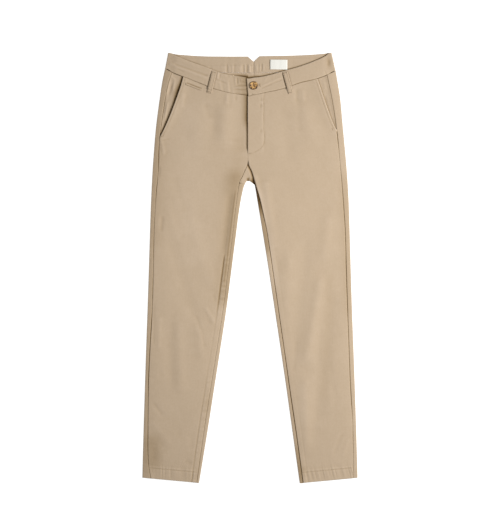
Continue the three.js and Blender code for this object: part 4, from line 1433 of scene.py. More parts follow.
def strip_tone(leg, x, y, on_top):
    """Shade of the strips that come round to the front."""
    if leg is right:
        outer = (x - leg.seam(y) < 2) & (np.abs(x) > HALF_LEG)
        return 1 - OUTER_STRIP_SHADE * on_top * outer
    outside_front = leg.inward * (x - leg.inseam(np.minimum(y, TOPMOST))) > -1.2
    inner = outside_front & (y < TOPMOST + 2) & (np.abs(x) < HALF_LEG)
    return np.where(inner, curve(INNER_STRIP_SHADE, "y", "tone")(y), 1.0)


def under_front_band(x, y):
    """Shadow of the front of the band on what lies behind it."""
    front_top = np.where(x < TAB["end"], right.front_top(x), left.front_top(x))
    reach = UNDER_BAND["reach"] + UNDER_BAND["more"] * bump(x - UNDER_BAND["middle"], UNDER_BAND["half"])
    return 1 - UNDER_BAND["depth"] * band_shadow(x) * bump(np.maximum(0, y - front_top), reach)


# %% Build the two backs
INSIDE_SHOWS = {"above": 440, "half": 190}  # only this part of the inside can be seen

for leg in LEGS:
    sections = [back_section(leg, share, turn) for share, turn in back_rows(leg)]
    outside, inside = (np.stack([s[i] for s in sections]) for i in range(2))
    x, y = outside[..., 0], outside[..., 1]
    shows = (outside[..., 2] == 0) & (np.abs(x) < INSIDE_SHOWS["half"])
    shows = shows & (inside[..., 1] > INSIDE_SHOWS["above"])
    lifted = inside_relief(inside[..., 0], inside[..., 1], inside[..., 2])
    inside[..., 2] = np.where(shows, lifted, inside[..., 2])
    on_top = outside[..., 2] > FOLD_RADIUS * 1.4
    tone = np.where(on_top, seam_tone(leg, x, y) * painted_shade_patches(x, y), 1.0) * strip_tone(leg, x, y, on_top)
    shadow = under_front_band(x, y) * painted_relief_shade(inside[..., 2])
    back = shell("back_panel_" + leg.name, outside, inside, cotton_twill, tone, shadow)
    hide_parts("back_" + leg.name)

# %% Build the tongue, which is part of the right back
FORK_PIT_SHADE = {"x": -5, "y": 222, "slant": 1, "height": 0.8, "reach": 3}  # painted shade at the darkest spot

tongue_out, tongue_in = tongue_shell()
x, y = tongue_out[..., 0], tongue_out[..., 1]
# Painted shadow of the left front's edge on the tongue, and painted shade along the right fork and at the pit
under_left = 4.2 + 4.0 * ease((228 - y) / 12)
tone = 1 - 0.95 * bump(np.maximum(0, left.fork(y) - x), under_left)
tone = tone * (1 - 0.15 * bump(right.across(right.fork, x, y), 1.2)) * (1 - dent(FORK_PIT_SHADE, x, y))
tongue = shell("back_fork", tongue_out, tongue_in, cotton_twill, tone)
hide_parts("back_right")

# %% [markdown]
# ## The waistband
#
# The band is a folded strip with a stiffener inside. In front it lies on the fronts, at the side it folds
# round, and at the back it lies on the table with its inside showing. Its front edge dips towards the
# button. On the right it buckles along its length, as a stiff strip does when it is pushed flat.

# %% Sections of the waistband
BAND_FRONT_COLUMNS, BAND_BACK_COLUMNS = 150, 120
BAND_HEIGHT, BAND_BACK_HEIGHT = 44.0, 40.0
BAND_PUCKER = {"right": 0.32, "left": 0.08}
BAND_EDGE = {"depth": 0.9, "reach": 1.1}
FRONT_LOOPS = {
    "right": {"from": (-101.8, 437.0), "to": (-89.0, 490.5)},
    "left": {"from": (102.0, 436.0), "to": (87.3, 489.3)},
}
BESIDE_LOOP = {"depth": 0.7, "out": 0.6, "width": 1.6}
INSIDE_STEP = {"y": 507, "rise": 0.55}  # below this height the inside lies over a turned-in edge
GATHERED = {"middle": -45, "half": 55, "fade": 18}  # where the back of the band is gathered
INSIDE_CREASES = table(
    FOLD_COLUMNS,
    (-57.5, 511, -57, 484, 1.8, -0.6),
    (-54, 511, -54, 484, 1.6, 0.4),
    (-47.5, 508, -47, 484, 1.8, -0.5),
    (-39, 511, -39.5, 484, 2.4, -0.7),
    (-23.5, 509, -23, 484, 2, 0.5),
    (-16.5, 511, -16, 484, 1.8, -0.7),
    (-12, 508, -12, 484, 1.5, 0.4),
    (-8, 511, -8.5, 484, 1.8, -0.8),
    (-1, 510, -1, 484, 1.6, 0.5),
    (2.5, 509, 2.5, 488, 1.6, -0.6),
    (16, 508, 16, 490, 2, 0.5),
    (22, 511, 21.5, 488, 1.8, -0.7),
    (29.5, 512, 29, 490, 2.2, -0.9),
    (33.5, 511, 33, 492, 1.6, 0.5),
)


def beside_loop(leg, x, y):
    """The band and front are pressed down beside a belt loop."""
    (x1, y1), (x2, y2) = FRONT_LOOPS[leg.name]["from"], FRONT_LOOPS[leg.name]["to"]
    length = math.hypot(x2 - x1, y2 - y1)
    across = ((x - x1) * (y2 - y1) - (y - y1) * (x2 - x1)) / length
    along = ((x - x1) * (x2 - x1) + (y - y1) * (y2 - y1)) / length
    ends = ease((along + 3) / 3) * ease((length + 3 - along) / 3)
    from_loop = np.abs(across) - LOOP["width"] / 2 - BESIDE_LOOP["out"]
    return -BESIDE_LOOP["depth"] * bump(from_loop, BESIDE_LOOP["width"]) * ends


def band_relief(leg, x, y, t):
    """Relief of the band in front. t goes from 0 at its seam to 1 at its top."""
    up, down = t * BAND_HEIGHT, (1 - t) * BAND_HEIGHT
    z = 0.25 * np.sin(math.pi * t) + fold_height(BAND_CREASES, x, y, 9) + general_relief(x, y)
    z = z + seam_groove(down, BAND_EDGE) + WAIST_GROOVE * seam_groove(up, SEAM_ROLL)
    z = z + BAND_PUCKER[leg.name] * ripple(x + 0.15 * y, 6, 61) * bump(x - GATHERED["middle"], 55)
    z = z + 0.10 * ripple(x, 5, 62) * (bump(up, 6) + bump(down, 6))
    return z + beside_loop(leg, x, y)


def band_surface(leg, x, y):
    """Top of the waistband in front, away from its side fold."""
    t = np.clip((y - leg.front_seam(x)) / (leg.front_top(x) - leg.front_seam(x)), 0, 1)
    return leg.band_height(x) + band_relief(leg, x, y, t)


def band_inside_relief(x, y, t):
    """Relief of the inside of the band at the back: a step, gathers, creases and the centre seam."""
    from_middle = np.abs(x - GATHERED["middle"])
    gathered = bump(np.maximum(0, from_middle - GATHERED["half"]), GATHERED["fade"])
    step = INSIDE_STEP["rise"] * ease((INSIDE_STEP["y"] - y) / 5)
    z = step * (0.4 + 0.6 * gathered) + 0.55 * gathered * ripple(x, 7, 63) * ease((509 - y) / 8)
    z = z + 0.12 * ripple(x, 9, 64) + 0.6 * seam_groove((1 - t) * BAND_BACK_HEIGHT, BAND_EDGE)
    z = z - 0.25 * bump(y - 525, 1.2) + fold_height(INSIDE_CREASES, x, y, 9)
    return z - 0.7 * bump(x - centre_back(y), 1.3)


def over_back_loop(leg, x):
    """How far the band is lifted by the loop that lies under it."""
    clear = LOOP["width"] / 2 + 0.5 + BACK_LOOP["ramp"] - np.abs(x - leg.back_loop_x())
    return (LOOP["thickness"] + SEAM_GAP) * np.clip(clear / BACK_LOOP["ramp"], 0, 1)


def band_section(leg, t):
    """One row of the band: front, side fold, and back with its inside upward."""
    inward = leg.inward
    low, top = BAND_SIDES[leg.name]["low"], BAND_SIDES[leg.name]["top"]
    edge_x, edge_y = mix(low[0], top[0], t), mix(low[1], top[1], t)
    fold_x = edge_x + inward * BAND_FOLD_RADIUS
    front_end = UNDER_TAB if leg is right else TAB["end"] - TAB["lean"] * t
    notched = max(0, (t - NOTCH["foot"]) / (1 - NOTCH["foot"])) * NOTCH["width"] / 2
    back_end = CENTRE_BACK["top"] - inward * (CENTRE_GAP + notched)
    x = mix(front_end, fold_x, column_shares([abs(fold_x - front_end)], BAND_FRONT_COLUMNS)[0])[:-1]
    y = mix(leg.front_seam(x), leg.front_top(x), t)
    beside_fold = ease(np.abs(x - fold_x) / 24)
    z = mix(2 * BAND_FOLD_RADIUS, leg.band_height(x), beside_fold)
    z = z + band_relief(leg, x, y, t) * ease(np.abs(x - fold_x) / 8)
    if leg is left:
        z = z - EDGE_ROLL["depth"] * bump(x - front_end, EDGE_ROLL["reach"])
    front_out = sheet_points(x, y, z)
    fold_out, fold_in = rolled(edge_x, edge_y, inward, BAND_FOLD_RADIUS, BAND_WALL, 1.0, 2 * BAND_FOLD_RADIUS)
    x = mix(fold_x, back_end, np.linspace(0, 1, BAND_BACK_COLUMNS + 1)[1:])
    y = mix(leg.back_seam(x), leg.back_top(x), t)
    back_out = sheet_points(x, y, over_back_loop(leg, x))
    lift = band_inside_relief(x, y, t) * ease(np.abs(x - fold_x) / 20)
    soft_lift = 0.35 * bump(x - leg.back_loop_x(), 16)  # the stiff band bridges over the loop
    back_in = sheet_points(x, y, BAND_WALL + soft_lift + lift)
    outs = np.concatenate([front_out, fold_out[::-1], back_out])
    ins = np.concatenate([front_out - [0, 0, BAND_WALL], fold_in[::-1], back_in])
    return outs, ins


# %% Shade on the waistband
LOOP_SHADE = {"right": 0.5, "left": 0.85}  # beside the loop, on the side away from the lamp
SIDE_SHADE_SPOT = {"x": 197, "y": 513, "height": 0.22, "reach": 6, "slant": 1 / 2.2}  # painted shade of a dent on the left


def band_tone(leg, x, y, t):
    """Painted shade of the band in front at its seam, beside the loop and beside the tab, and a painted
    highlight along its top edge.
    """
    tone = 1 + 0.05 * bump((1 - t) * BAND_HEIGHT, 1.5) - waist_shade(x) * bump(t * BAND_HEIGHT, SHADE_REACH)
    (x1, y1), (x2, y2) = FRONT_LOOPS[leg.name]["from"], FRONT_LOOPS[leg.name]["to"]
    along = (y - y1) / (y2 - y1)
    edge = mix(x1, x2, along) - LOOP["width"] / 2 - 0.8
    shade = LOOP_SHADE[leg.name] * within(along, 0.02, 0.9, 0.1)
    tone = tone * (1 - shade * bump(x - edge, 1.2))
    if leg is left:
        return tone * (1 - dent(SIDE_SHADE_SPOT, x, y))
    beside_tab = np.maximum(0, TAB["end"] - TAB["lean"] * t - x)
    return tone * (1 - 0.5 * bump(beside_tab, 2.6) - 0.30 * bump(beside_tab, 23))


# %% Build the two halves of the waistband
band_steps = np.unique(np.concatenate([EDGE_STEPS, np.arange(8.5, 36, 1.5), BAND_HEIGHT - EDGE_STEPS]))
for leg in LEGS:
    sections = [band_section(leg, t) for t in band_steps / BAND_HEIGHT]
    outside, inside = (np.stack([s[i] for s in sections]) for i in range(2))
    t = (band_steps / BAND_HEIGHT)[:, None] + 0 * outside[..., 0]
    tone = band_tone(leg, outside[..., 0], outside[..., 1], t) * painted_relief_shade(outside[..., 2])
    shadow = under_front_band(inside[..., 0], inside[..., 1]) * painted_relief_shade(inside[..., 2])
    band = shell("waistband_half_" + leg.name, outside, inside, cotton_twill, tone, shadow)
    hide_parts("waistband_" + leg.name)

# %% [markdown]
# ## Pocket facings and the coin pocket
#
# Inside each slanted pocket mouth the facing shows: cloth sewn to the side seam that runs under the
# front. It lies a little lower than the front, and on the right, where the mouth stands open, it has
# soft upright folds. The coin pocket is only a slit with a narrow welt under it.

# %% Build the facings
FACING_ROWS, FACING_COLUMNS = 90, 34
FACING_FOLD_GAIN = 1.6
MOUTH_SHADE = {"right": (0.93, 4.5), "left": (0.4, 2.2)}  # depth and reach of the shade beside the mouth
WIDEST = {"y": 443, "more": 4.0, "half": 22}  # where the right mouth stands open widest
FACING_FOLDS = table(
    FOLD_COLUMNS,
    (-203, 470, -214, 425, 3.5, 0.7),
    (-196, 462, -203, 430, 3.5, -0.6),
    (-188, 470, -193, 440, 3, 0.5),
    (-210, 440, -217, 385, 3, -0.6),
    (-205, 415, -214, 370, 3, 0.6),
    (-199, 482, -186, 468, 3, 0.4),
    (186, 430, 196, 385, 4, -0.6),
    (183, 470, 190, 440, 4, 0.3),
)


def facing(leg):
    """The cloth inside a pocket mouth, from the side seam to a tuck under the front."""
    inward = leg.inward

    def top(x):
        return leg.front_seam(x) - SEAM_GAP

    def seam_edge(y):
        return leg.seam(y) + inward * SEAM_GAP / 2

    foot = leg.pocket_foot + POCKET["tail"]
    head = float(top(seam_edge(np.array(490.0))))
    t = np.linspace(0, 1, FACING_ROWS)
    y0 = mix(head, foot, t)
    x0 = seam_edge(y0)
    tuck = POCKET["tuck"] * (1 - ease(2 * t - 1.1))
    y1 = mix(float(top(leg.pocket(np.array(480.0)) + inward * POCKET["tuck"])), foot, t)
    x1 = x0 + inward * (np.maximum(inward * (leg.pocket(y1) - x0), 1.5) + tuck)
    s = np.linspace(0, 1, FACING_COLUMNS)[None, :] ** 1.3
    x = mix(x0[:, None], x1[:, None], s)
    y = np.minimum(mix(y0[:, None], y1[:, None], s), top(x))
    from_seam = np.maximum(0, inward * (x - seam_edge(y)))
    z = upper_surface(leg, x, y) - POCKET["sink"] * (1 - np.exp(-from_seam / 3.5))
    z = z - 0.3 * ease((leg.pocket_foot + 30 - y) / 20)
    under = ease((inward * (x - leg.pocket(y)) + 2) / 3)
    folds = FACING_FOLD_GAIN * fold_height(FACING_FOLDS, x, y, 14) + 0.12 * puckers(from_seam, y, 7, 6, 71)
    z = z + folds * (1 - under) + 0.7 * seam_groove(from_seam, SEAM_ROLL)
    outside = sheet_points(x, y, z)
    outside_mouth = np.maximum(0, inward * (leg.pocket(y) - x))
    depth, reach = MOUTH_SHADE[leg.name]
    if leg is right:
        reach = reach + WIDEST["more"] * bump(y - WIDEST["y"], WIDEST["half"])
    tone = painted_relief_shade(z) * (1 - depth * bump(outside_mouth, reach))
    tone = tone * (1 - side_shade[leg.name](y) * bump(from_seam, SHADE_REACH))
    return shell("pocket_inside_" + leg.name, outside, outside - [0, 0, POCKET["facing"]], cotton_twill, tone)


for leg in LEGS:
    piece = facing(leg)
    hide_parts("pocket_facing_" + leg.name)

# %% A strip laid along a line, for the welt, the loops and the label
def strip_plan(line, low, high, rows, columns):
    """Plan of a straight strip: rows along its line, columns across it, to the right of it."""
    (x1, y1), (x2, y2) = line["from"], line["to"]
    length = math.hypot(x2 - x1, y2 - y1)
    t = np.linspace(0, 1, rows)[:, None]
    across = mix(low, high, np.linspace(0, 1, columns))[None, :]
    x = mix(x1, x2, t) + across * (y2 - y1) / length
    y = mix(y1, y2, t) - across * (x2 - x1) / length
    return x, y, t + 0 * across, across + 0 * t


def rounded_edge(across, low, high, drop, reach):
    """How much lower a strip is near its two long edges."""
    return -drop * (bump(across - low, reach) + bump(high - across, reach))


# %% Build the coin pocket's welt
WELT_TOP = 1.2  # the slit keeps the welt this far below its line
WELT_SHADE = {"paler": 0.05, "darker": 0.25}  # painted highlight on its upper edge and painted shade along its lower edge

x, y, along, across = strip_plan(WELT, WELT_TOP, WELT["width"], 60, 14)
z = front_surface(right, x, y) + SEAM_GAP + 0.1 + WELT["thickness"]
z = z + rounded_edge(across, WELT_TOP, WELT["width"], 0.35, 0.6) + 0.1 * ripple(x, 5, 72)
outside = sheet_points(x, y, z)
tone = 1 + WELT_SHADE["paler"] * bump(across - WELT_TOP, 0.8)
tone = tone - WELT_SHADE["darker"] * bump(across - WELT["width"], 0.9)
welt = shell("coin_pocket_edge", outside, outside - [0, 0, WELT["thickness"]], cotton_twill, tone)
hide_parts("coin_pocket_welt")

# %% [markdown]
# ## Belt loops
#
# A belt loop is a strip folded to twelve millimetres, stitched along both edges and tacked at both ends.
# It stands a little off the band between its tacks. The back ones are pressed under the band.

# %% Build the belt loops
LOOP_ROWS, LOOP_COLUMNS = 70, 18
LOOP_LENGTH = 55
LOOP_STITCH = {"in": 2.2, "depth": 0.18, "width": 0.7}
HALF_LOOP = LOOP["width"] / 2


def top_of_garment(leg, x, y):
    """The band, or the front below it."""
    on_band = ease((y - leg.front_seam(x) + 1) / 2)
    return np.maximum(band_surface(leg, x, y) * on_band, front_surface(leg, x, y))


def loop_surface(leg, x, y):
    """Top of a loop: clear of all that lies within a few millimetres, and arched between its tacks."""
    line = FRONT_LOOPS[leg.name]
    along = np.clip((y - line["from"][1]) / (line["to"][1] - line["from"][1]), 0, 1)
    near = [(dx, dy) for dx in (-3, 0, 3) for dy in (-6, 0, 6)]
    below = np.max([top_of_garment(leg, x + dx, y + dy) for dx, dy in near], axis=0)
    arch = LOOP["arch"] * np.maximum(0, np.sin(math.pi * along)) ** 0.7
    return below + SEAM_GAP + LOOP["thickness"] + arch


def loop_relief(along, across):
    """Two stitched lines, rounded edges and a little unevenness."""
    from_line = np.abs(across) - HALF_LOOP + LOOP_STITCH["in"]
    stitched = -LOOP_STITCH["depth"] * bump(from_line, LOOP_STITCH["width"])
    return stitched + rounded_edge(across, -HALF_LOOP, HALF_LOOP, 0.4, 0.8) + 0.08 * ripple(along, 4, 73)


for leg in LEGS:
    line = FRONT_LOOPS[leg.name]
    x, y, along, across = strip_plan(line, -HALF_LOOP, HALF_LOOP, LOOP_ROWS, LOOP_COLUMNS)
    outside = sheet_points(x, y, loop_surface(leg, x, y) + loop_relief(along * LOOP_LENGTH, across))
    # The loop is paler along both long edges, as wear and as a painted highlight.
    tone = 1 + 0.06 * (bump(across + HALF_LOOP, 1.0) + bump(across - HALF_LOOP, 1.0))
    piece = shell("belt_loop_" + leg.name, outside, outside - [0, 0, LOOP["thickness"]], cotton_twill, tone)
    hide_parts("belt_loop_front_" + leg.name)

    t = np.linspace(0, 1, 24)[:, None]
    x = leg.back_loop_x() + np.linspace(-0.5, 0.5, 12)[None, :] * LOOP["width"] + 0 * t
    y = mix(leg.back_seam(x), leg.back_top(x) - 0.5, t)
    outside = sheet_points(x, y, LOOP["thickness"])
    piece = shell("belt_loop_under_" + leg.name, outside, outside * [1, 1, 0], cotton_twill)
    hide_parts("belt_loop_back_" + leg.name)

# %% [markdown]
# ## Label
#
# The woven label inside the back of the band is left bare. It is a satin: fine, smooth and ivory, with
# its ends turned under, so it bulges a little and its ends are stitched.

# %% Label material
IVORY = (0.73, 0.715, 0.655)


def satin(name, colour):
    """Fine smooth cloth: long floats of yarn, a little uneven."""
    material, tree, shader = new_material(name)
    grain = add_node(tree, "ShaderNodeAttribute", {"attribute_name": "grain"}).outputs["Vector"]
    floats = noise(tree, stretched(tree, grain, (300.0, 2600.0, 1.0)), 1.0)
    shade = calculate(tree, "MULTIPLY_ADD", floats, 0.08, 0.96)
    paint = add_node(tree, "ShaderNodeVectorMath", {"operation": "SCALE"}, i0=colour, Scale=shade)
    tree.links.new(paint.outputs[0], shader.inputs["Base Color"])
    relief = add_node(tree, "ShaderNodeBump", Strength=0.3, Distance=0.00006, Height=floats)
    tree.links.new(relief.outputs[0], shader.inputs["Normal"])
    shader.inputs["Roughness"].default_value = 0.55
    shader.inputs["Sheen Weight"].default_value = 0.1
    return material


label_satin = satin("label_cloth", IVORY)
print("label colour", IVORY)

# %% Build the label
LABEL = {"from": (50.3, 508.3), "to": (93.3, 507.8), "width": 24.5, "thickness": 0.7}
LABEL_LENGTH = 43
HALF_LABEL = LABEL["width"] / 2
label_level = BAND_WALL + 1.0 + SEAM_GAP + LABEL["thickness"]  # clear of the gathers under it

x, y, along, across = strip_plan(LABEL, -HALF_LABEL, HALF_LABEL, 60, 36)
swell = 0.5 * np.sin(math.pi * along) ** 0.6 + 0.12 * ripple(x, 9, 74) * np.sin(math.pi * along)
from_end = np.minimum(along, 1 - along) * LABEL_LENGTH
outside = sheet_points(x, y, label_level + over_back_loop(left, x) + swell - 0.4 * bump(from_end, 1.2))
label = shell("label_plain", outside, outside - [0, 0, LABEL["thickness"] * 0.7], label_satin)
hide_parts("label")

# %% [markdown]
# ## Button
#
# A four-hole button with a raised rim and a dished middle. It could be cut with booleans, but a button
# that is turned on a lathe is a profile spun round, and the holes are easier as wells in a fine grid: the
# top surface drops steeply inside four small circles. The tortoiseshell look is amber with dark blots.

# %% Tortoiseshell material
def tortoiseshell(name):
    """Amber with soft dark blots."""
    material, tree, shader = new_material(name)
    place = add_node(tree, "ShaderNodeTexCoord").outputs["Object"]
    blots = noise(tree, place, 230.0, 2.0)
    ramp = add_node(tree, "ShaderNodeValToRGB", Fac=blots)
    stops = ramp.color_ramp.elements
    stops[0].position, stops[0].color = 0.36, (0.030, 0.015, 0.007, 1)
    stops[1].position, stops[1].color = 0.56, (0.60, 0.36, 0.13, 1)
    amber = stops.new(0.46)
    amber.color = (0.30, 0.15, 0.045, 1)
    tree.links.new(ramp.outputs["Color"], shader.inputs["Base Color"])
    shader.inputs["Roughness"].default_value = 0.4
    shader.inputs["Coat Weight"].default_value = 0.08
    shader.inputs["Coat Roughness"].default_value = 0.12
    return material


button_horn = tortoiseshell("button_horn")
print("button material", len(button_horn.node_tree.nodes), "nodes")

# %% The button's profile
BUTTON = {"x": 9.6, "y": 455.3, "diameter": 20.5, "thickness": 3.2, "hole": 1.15, "pitch": 2.7}
RIM = {"width": 1.5, "round": 0.75}
DISH = {"in": 2.6, "slope": 1.4, "depth": 0.75}
WELL = {"depth": 1.6, "slope": 0.35}
OUTER = BUTTON["diameter"] / 2


def button_height(radius, angle):
    """Top of the button at a polar place: rounded rim, dished middle and four wells."""
    past = np.clip((radius - OUTER + RIM["width"]) / RIM["width"], 0, 1)
    height = BUTTON["thickness"] - RIM["round"] * (1 - np.sqrt(1 - past**2))
    height = height - DISH["depth"] * ease((OUTER - DISH["in"] - radius) / DISH["slope"])
    for around in math.pi / 4 + np.arange(4) * math.pi / 2:
        x = radius * np.cos(angle) - BUTTON["pitch"] * math.cos(around)
        y = radius * np.sin(angle) - BUTTON["pitch"] * math.sin(around)
        height = height - WELL["depth"] * ease((BUTTON["hole"] - np.hypot(x, y)) / WELL["slope"] + 0.5)
    return height


# %% Build the button
RINGS, SPOKES = 64, 96
UNDERSIDE = 0.985  # the underside is this share of the top's width
button_base = float(left.band_height(np.array(BUTTON["x"]))) + SEAM_GAP

radius = np.linspace(0.02, OUTER, RINGS)[:, None]
angle = np.linspace(0, 2 * math.pi, SPOKES, endpoint=False)[None, :]
flat_x, flat_y = radius * np.cos(angle), radius * np.sin(angle)
top = sheet_points(flat_x, flat_y, button_height(radius, angle))
under = sheet_points(flat_x * UNDERSIDE, flat_y * UNDERSIDE, 0.5 * ease((radius - OUTER + 1.2) / 1.2))
points = np.concatenate([top.reshape(-1, 3), under[::-1].reshape(-1, 3)])
points += [BUTTON["x"], BUTTON["y"], button_base]
ring = np.arange(SPOKES)
level = np.arange(2 * RINGS - 1)[:, None] * SPOKES
faces = np.stack(
    [level + ring, level + (ring + 1) % SPOKES, level + SPOKES + (ring + 1) % SPOKES, level + SPOKES + ring],
    axis=-1,
).reshape(-1, 4)
faces = outward(points, faces).tolist()
caps = [ring.tolist(), ((2 * RINGS - 1) * SPOKES + ring).tolist()]
faces += [caps[0], caps[1][::-1]]
button = add_object("button_turned", points, faces, button_horn)
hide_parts("button")
print("button top", round(button_base + BUTTON["thickness"], 2), "mm")

# %% [markdown]
# ## Stitches
#
# Topstitching is what tells a sewn garment from a moulded one. Each stitch here is a short rounded bar
# of thread that rises from the cloth and dives back in. They are all made in one pass: a stitch is a
# pair of end points, and numpy bends a small tube between each pair over the surface below it. A bar
# tack and a buttonhole are the same stitches laid side by side.

# %% Thread material
THREAD = (0.37, 0.275, 0.175)
BUTTON_THREAD = (0.16, 0.10, 0.055)


def sewing_thread(name, colour):
    """Twisted thread: a wave texture slants across it."""
    material, tree, shader = new_material(name)
    place = add_node(tree, "ShaderNodeTexCoord").outputs["Object"]
    bands = {"wave_type": "BANDS", "bands_direction": "DIAGONAL"}
    ply = add_node(tree, "ShaderNodeTexWave", bands, Vector=place, Scale=1600.0, Distortion=0.5)
    shade = calculate(tree, "MULTIPLY_ADD", ply.outputs["Fac"], 0.25, 0.85)
    paint = add_node(tree, "ShaderNodeVectorMath", {"operation": "SCALE"}, i0=colour, Scale=shade)
    tree.links.new(paint.outputs[0], shader.inputs["Base Color"])
    shader.inputs["Roughness"].default_value = 0.6
    shader.inputs["Sheen Weight"].default_value = 0.1
    return material


thread = sewing_thread("thread_khaki", THREAD)
dark_thread = sewing_thread("thread_brown", BUTTON_THREAD)
print("thread colours", THREAD, BUTTON_THREAD)

# %% The stitch maker
THREAD_SIDES, THREAD_RINGS = 6, 7


def sew(name, starts, ends, surface, radius=0.3, arch=0.28, material=thread):
    """One joined mesh of stitches from starts to ends, lying on a surface of x and y."""
    starts, ends = np.asarray(starts, float), np.asarray(ends, float)
    count = len(starts)
    t = np.linspace(0, 1, THREAD_RINGS)[None, :]
    x = mix(starts[:, :1], ends[:, :1], t)
    y = mix(starts[:, 1:], ends[:, 1:], t)
    z = surface(x, y) + arch * np.sin(math.pi * t) - 0.1
    direction = ends - starts
    direction = direction / np.maximum(np.hypot(direction[:, 0], direction[:, 1]), 1e-9)[:, None]
    side = np.stack([-direction[:, 1], direction[:, 0]], axis=-1)
    thick = radius * (0.35 + 0.65 * np.sin(math.pi * np.clip(t * 0.9 + 0.05, 0, 1)) ** 0.5)
    turn = np.linspace(0, 2 * math.pi, THREAD_SIDES, endpoint=False)
    out = np.cos(turn)[None, None, :] * thick[..., None]
    up = np.sin(turn)[None, None, :] * thick[..., None]
    points = np.stack(
        [
            x[..., None] + out * side[:, 0, None, None],
            y[..., None] + out * side[:, 1, None, None],
            z[..., None] + up + 0 * out,
        ],
        axis=-1,
    )
    ring = np.arange(THREAD_SIDES)
    base = (np.arange(THREAD_RINGS - 1) * THREAD_SIDES)[:, None]
    after = (ring + 1) % THREAD_SIDES
    next_base = base + THREAD_SIDES
    tube = np.stack([base + ring, base + after, next_base + after, next_base + ring], axis=-1)
    offset = (np.arange(count) * THREAD_RINGS * THREAD_SIDES)[:, None, None]
    faces = (tube.reshape(1, -1, 4) + offset).reshape(-1, 4)[:, ::-1].tolist()
    last = (THREAD_RINGS - 1) * THREAD_SIDES
    for k in range(count):
        first = k * THREAD_RINGS * THREAD_SIDES
        faces.append((first + ring).tolist())
        faces.append((first + last + ring[::-1]).tolist())
    add_object(name, points.reshape(-1, 3), faces, material)
    print(name, "stitches", count)


# %% Rows of stitches and bar tacks
def along_path(path, spacing=3.1, length=2.45):
    """End points of a row of stitches along a line of points."""
    path = np.asarray(path, float)
    run = np.concatenate([[0], np.cumsum(np.hypot(*np.diff(path, axis=0).T))])
    begin = np.arange(0.4, run[-1] - length, spacing)

    def at(s):
        return np.stack([np.interp(s, run, path[:, 0]), np.interp(s, run, path[:, 1])], axis=-1)

    return at(begin), at(begin + length)


def tack(middle, angle, length, width, spacing=0.42):
    """End points of a bar tack: short stitches side by side, across a line at that angle."""
    dx, dy = math.cos(math.radians(angle)), math.sin(math.radians(angle))
    s = np.arange(-length / 2, length / 2, spacing)[:, None]
    centre = np.array(middle) + s * [dx, dy]
    across = np.array([-dy, dx]) * width / 2
    return centre - across, centre + across


def together(*pairs):
    """Starts and ends of several rows, as one pair."""
    return np.concatenate([p[0] for p in pairs]), np.concatenate([p[1] for p in pairs])


# %% Sew the pocket mouths and the hems
def line_of(leg, y, offset):
    """A line down the pocket mouth, offset inward from its edge."""
    slope = (leg.pocket(y + 1) - leg.pocket(y - 1)) / 2
    step = leg.inward * offset / np.sqrt(1 + slope**2)
    return np.stack([leg.pocket(y) + step, y - slope * step], axis=-1)


def hem_line(leg):
    """A line across the front, just below the top of its turned-up hem."""
    low_y = leg.hem_y(leg.seam(np.array(-510.0))) + HEM_DEPTH
    clear = leg.inward * HEM_STITCH_DOWN
    x = np.linspace(float(leg.seam(low_y)) + clear, float(leg.inseam(low_y)) - clear, 80)
    return np.stack([x, leg.hem_y(x) + HEM_DEPTH - HEM_STITCH_DOWN], axis=-1)


POCKET_TACK = {"right": ((-219.5, 328.5), 25, 9, 1.6), "left": ((206.5, 346.5), -70, 7, 1.6)}
for leg in LEGS:
    def on_front(x, y, leg=leg):
        return front_surface(leg, x, y)

    y = np.linspace(float(leg.front_seam(leg.pocket(np.array(470.0)))) - 4, leg.pocket_foot + 5, 90)
    mouth = along_path(line_of(leg, y, TOPSTITCH["in"]))
    pocket_tack = tack(*POCKET_TACK[leg.name])
    sew("stitches_front_" + leg.name, *together(mouth, along_path(hem_line(leg)), pocket_tack), on_front)


# %% Sew the fly and the coin pocket
def on_left(x, y):
    return front_surface(left, x, y)


def on_right(x, y):
    return front_surface(right, x, y)


fly_tack = tack((0.5, 286.2), 10, 7, 1.8)
sew("stitches_fly", *together(along_path(fly_path), fly_tack), on_left)



def beside(line, offset, count):
    """A line of points along a strip's line, offset across it."""
    x, y, _, _ = strip_plan(line, offset, offset, count, 1)
    return np.stack([x[:, 0], y[:, 0]], axis=-1)


welt_line = along_path(beside(WELT, WELT["width"] + 1.2, 40))
welt_ends = [tack(middle, 110, 7, 1.6) for middle in ((-160.5, 460.2), (-123.5, 446.2))]
sew("stitches_coin_pocket", *together(welt_line, *welt_ends), on_right)

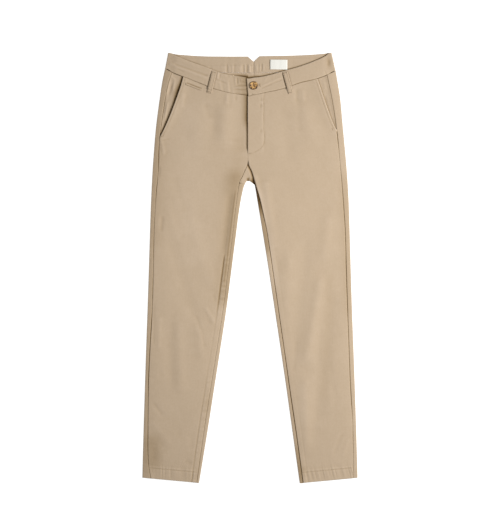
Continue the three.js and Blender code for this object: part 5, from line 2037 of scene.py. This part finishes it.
# %% Sew the loops
for leg in LEGS:
    line = FRONT_LOOPS[leg.name]
    rows = []
    for side in (-1, 1):
        stitch_line = beside(line, side * (HALF_LOOP - LOOP_STITCH["in"]), 50)
        rows.append(along_path(stitch_line[2:-2], 2.8, 2.2))
    tilt = math.degrees(math.atan2(line["to"][1] - line["from"][1], line["to"][0] - line["from"][0])) - 90
    for share in (0.045, 0.955):
        middle = [mix(a, b, share) for a, b in zip(line["from"], line["to"])]
        rows.append(tack(middle, tilt, 9.5, 1.8))

    def on_loop(x, y, leg=leg):
        return loop_surface(leg, x, y) + 0.05

    sew("stitches_loop_" + leg.name, *together(*rows), on_loop)


# %% Sew the tab and its buttonhole
def on_band(x, y):
    return band_surface(left, x, y)


BUTTONHOLE = {"from": (6.0, 455.0), "to": (25.5, 456.4), "half": 1.9}
(hx1, hy1), (hx2, hy2) = BUTTONHOLE["from"], BUTTONHOLE["to"]
hole_turn = math.degrees(math.atan2(hy2 - hy1, hx2 - hx1))
hole_middle = ((hx1 + hx2) / 2, (hy1 + hy2) / 2)
lips = [
    tack((hole_middle[0], hole_middle[1] + side * BUTTONHOLE["half"]), hole_turn, hx2 - hx1, 2.4, 0.45)
    for side in (-1, 1)
]
hole_bar = tack((25.9, 456.4), hole_turn + 90, 8.5, 2.0)
tab_bar = tack((8.0, 433.6), 2, 6, 1.6)
sew("stitches_tab", *together(*lips, hole_bar, tab_bar), on_band)


# %% Sew the label and the button
LABEL_MIDDLE = 508
LABEL_STITCHES = (51.6, 92.0)  # X of the row at each end


def on_label(x, y):
    return np.full_like(x, label_level - 0.3)


low, high = LABEL_MIDDLE - HALF_LABEL + 1, LABEL_MIDDLE + HALF_LABEL - 1
label_ends = [along_path([(end_x, low), (end_x, high)], 2.0, 1.5) for end_x in LABEL_STITCHES]
sew("stitches_label", *together(*label_ends), on_label, 0.18, 0.15)


def on_button(x, y):
    return np.full_like(x, button_base + BUTTON["thickness"] - 0.85)


cross = BUTTON["pitch"] * math.sqrt(0.5)
button_ties = []
for shift in (-0.35, 0, 0.35):
    for side in (-1, 1):
        button_ties.append(((-cross + shift, -cross * side + shift), (cross + shift, cross * side + shift)))
button_ties = np.array(button_ties) + [BUTTON["x"], BUTTON["y"]]
sew("stitches_button", button_ties[:, 0], button_ties[:, 1], on_button, 0.28, 0.5, dark_thread)
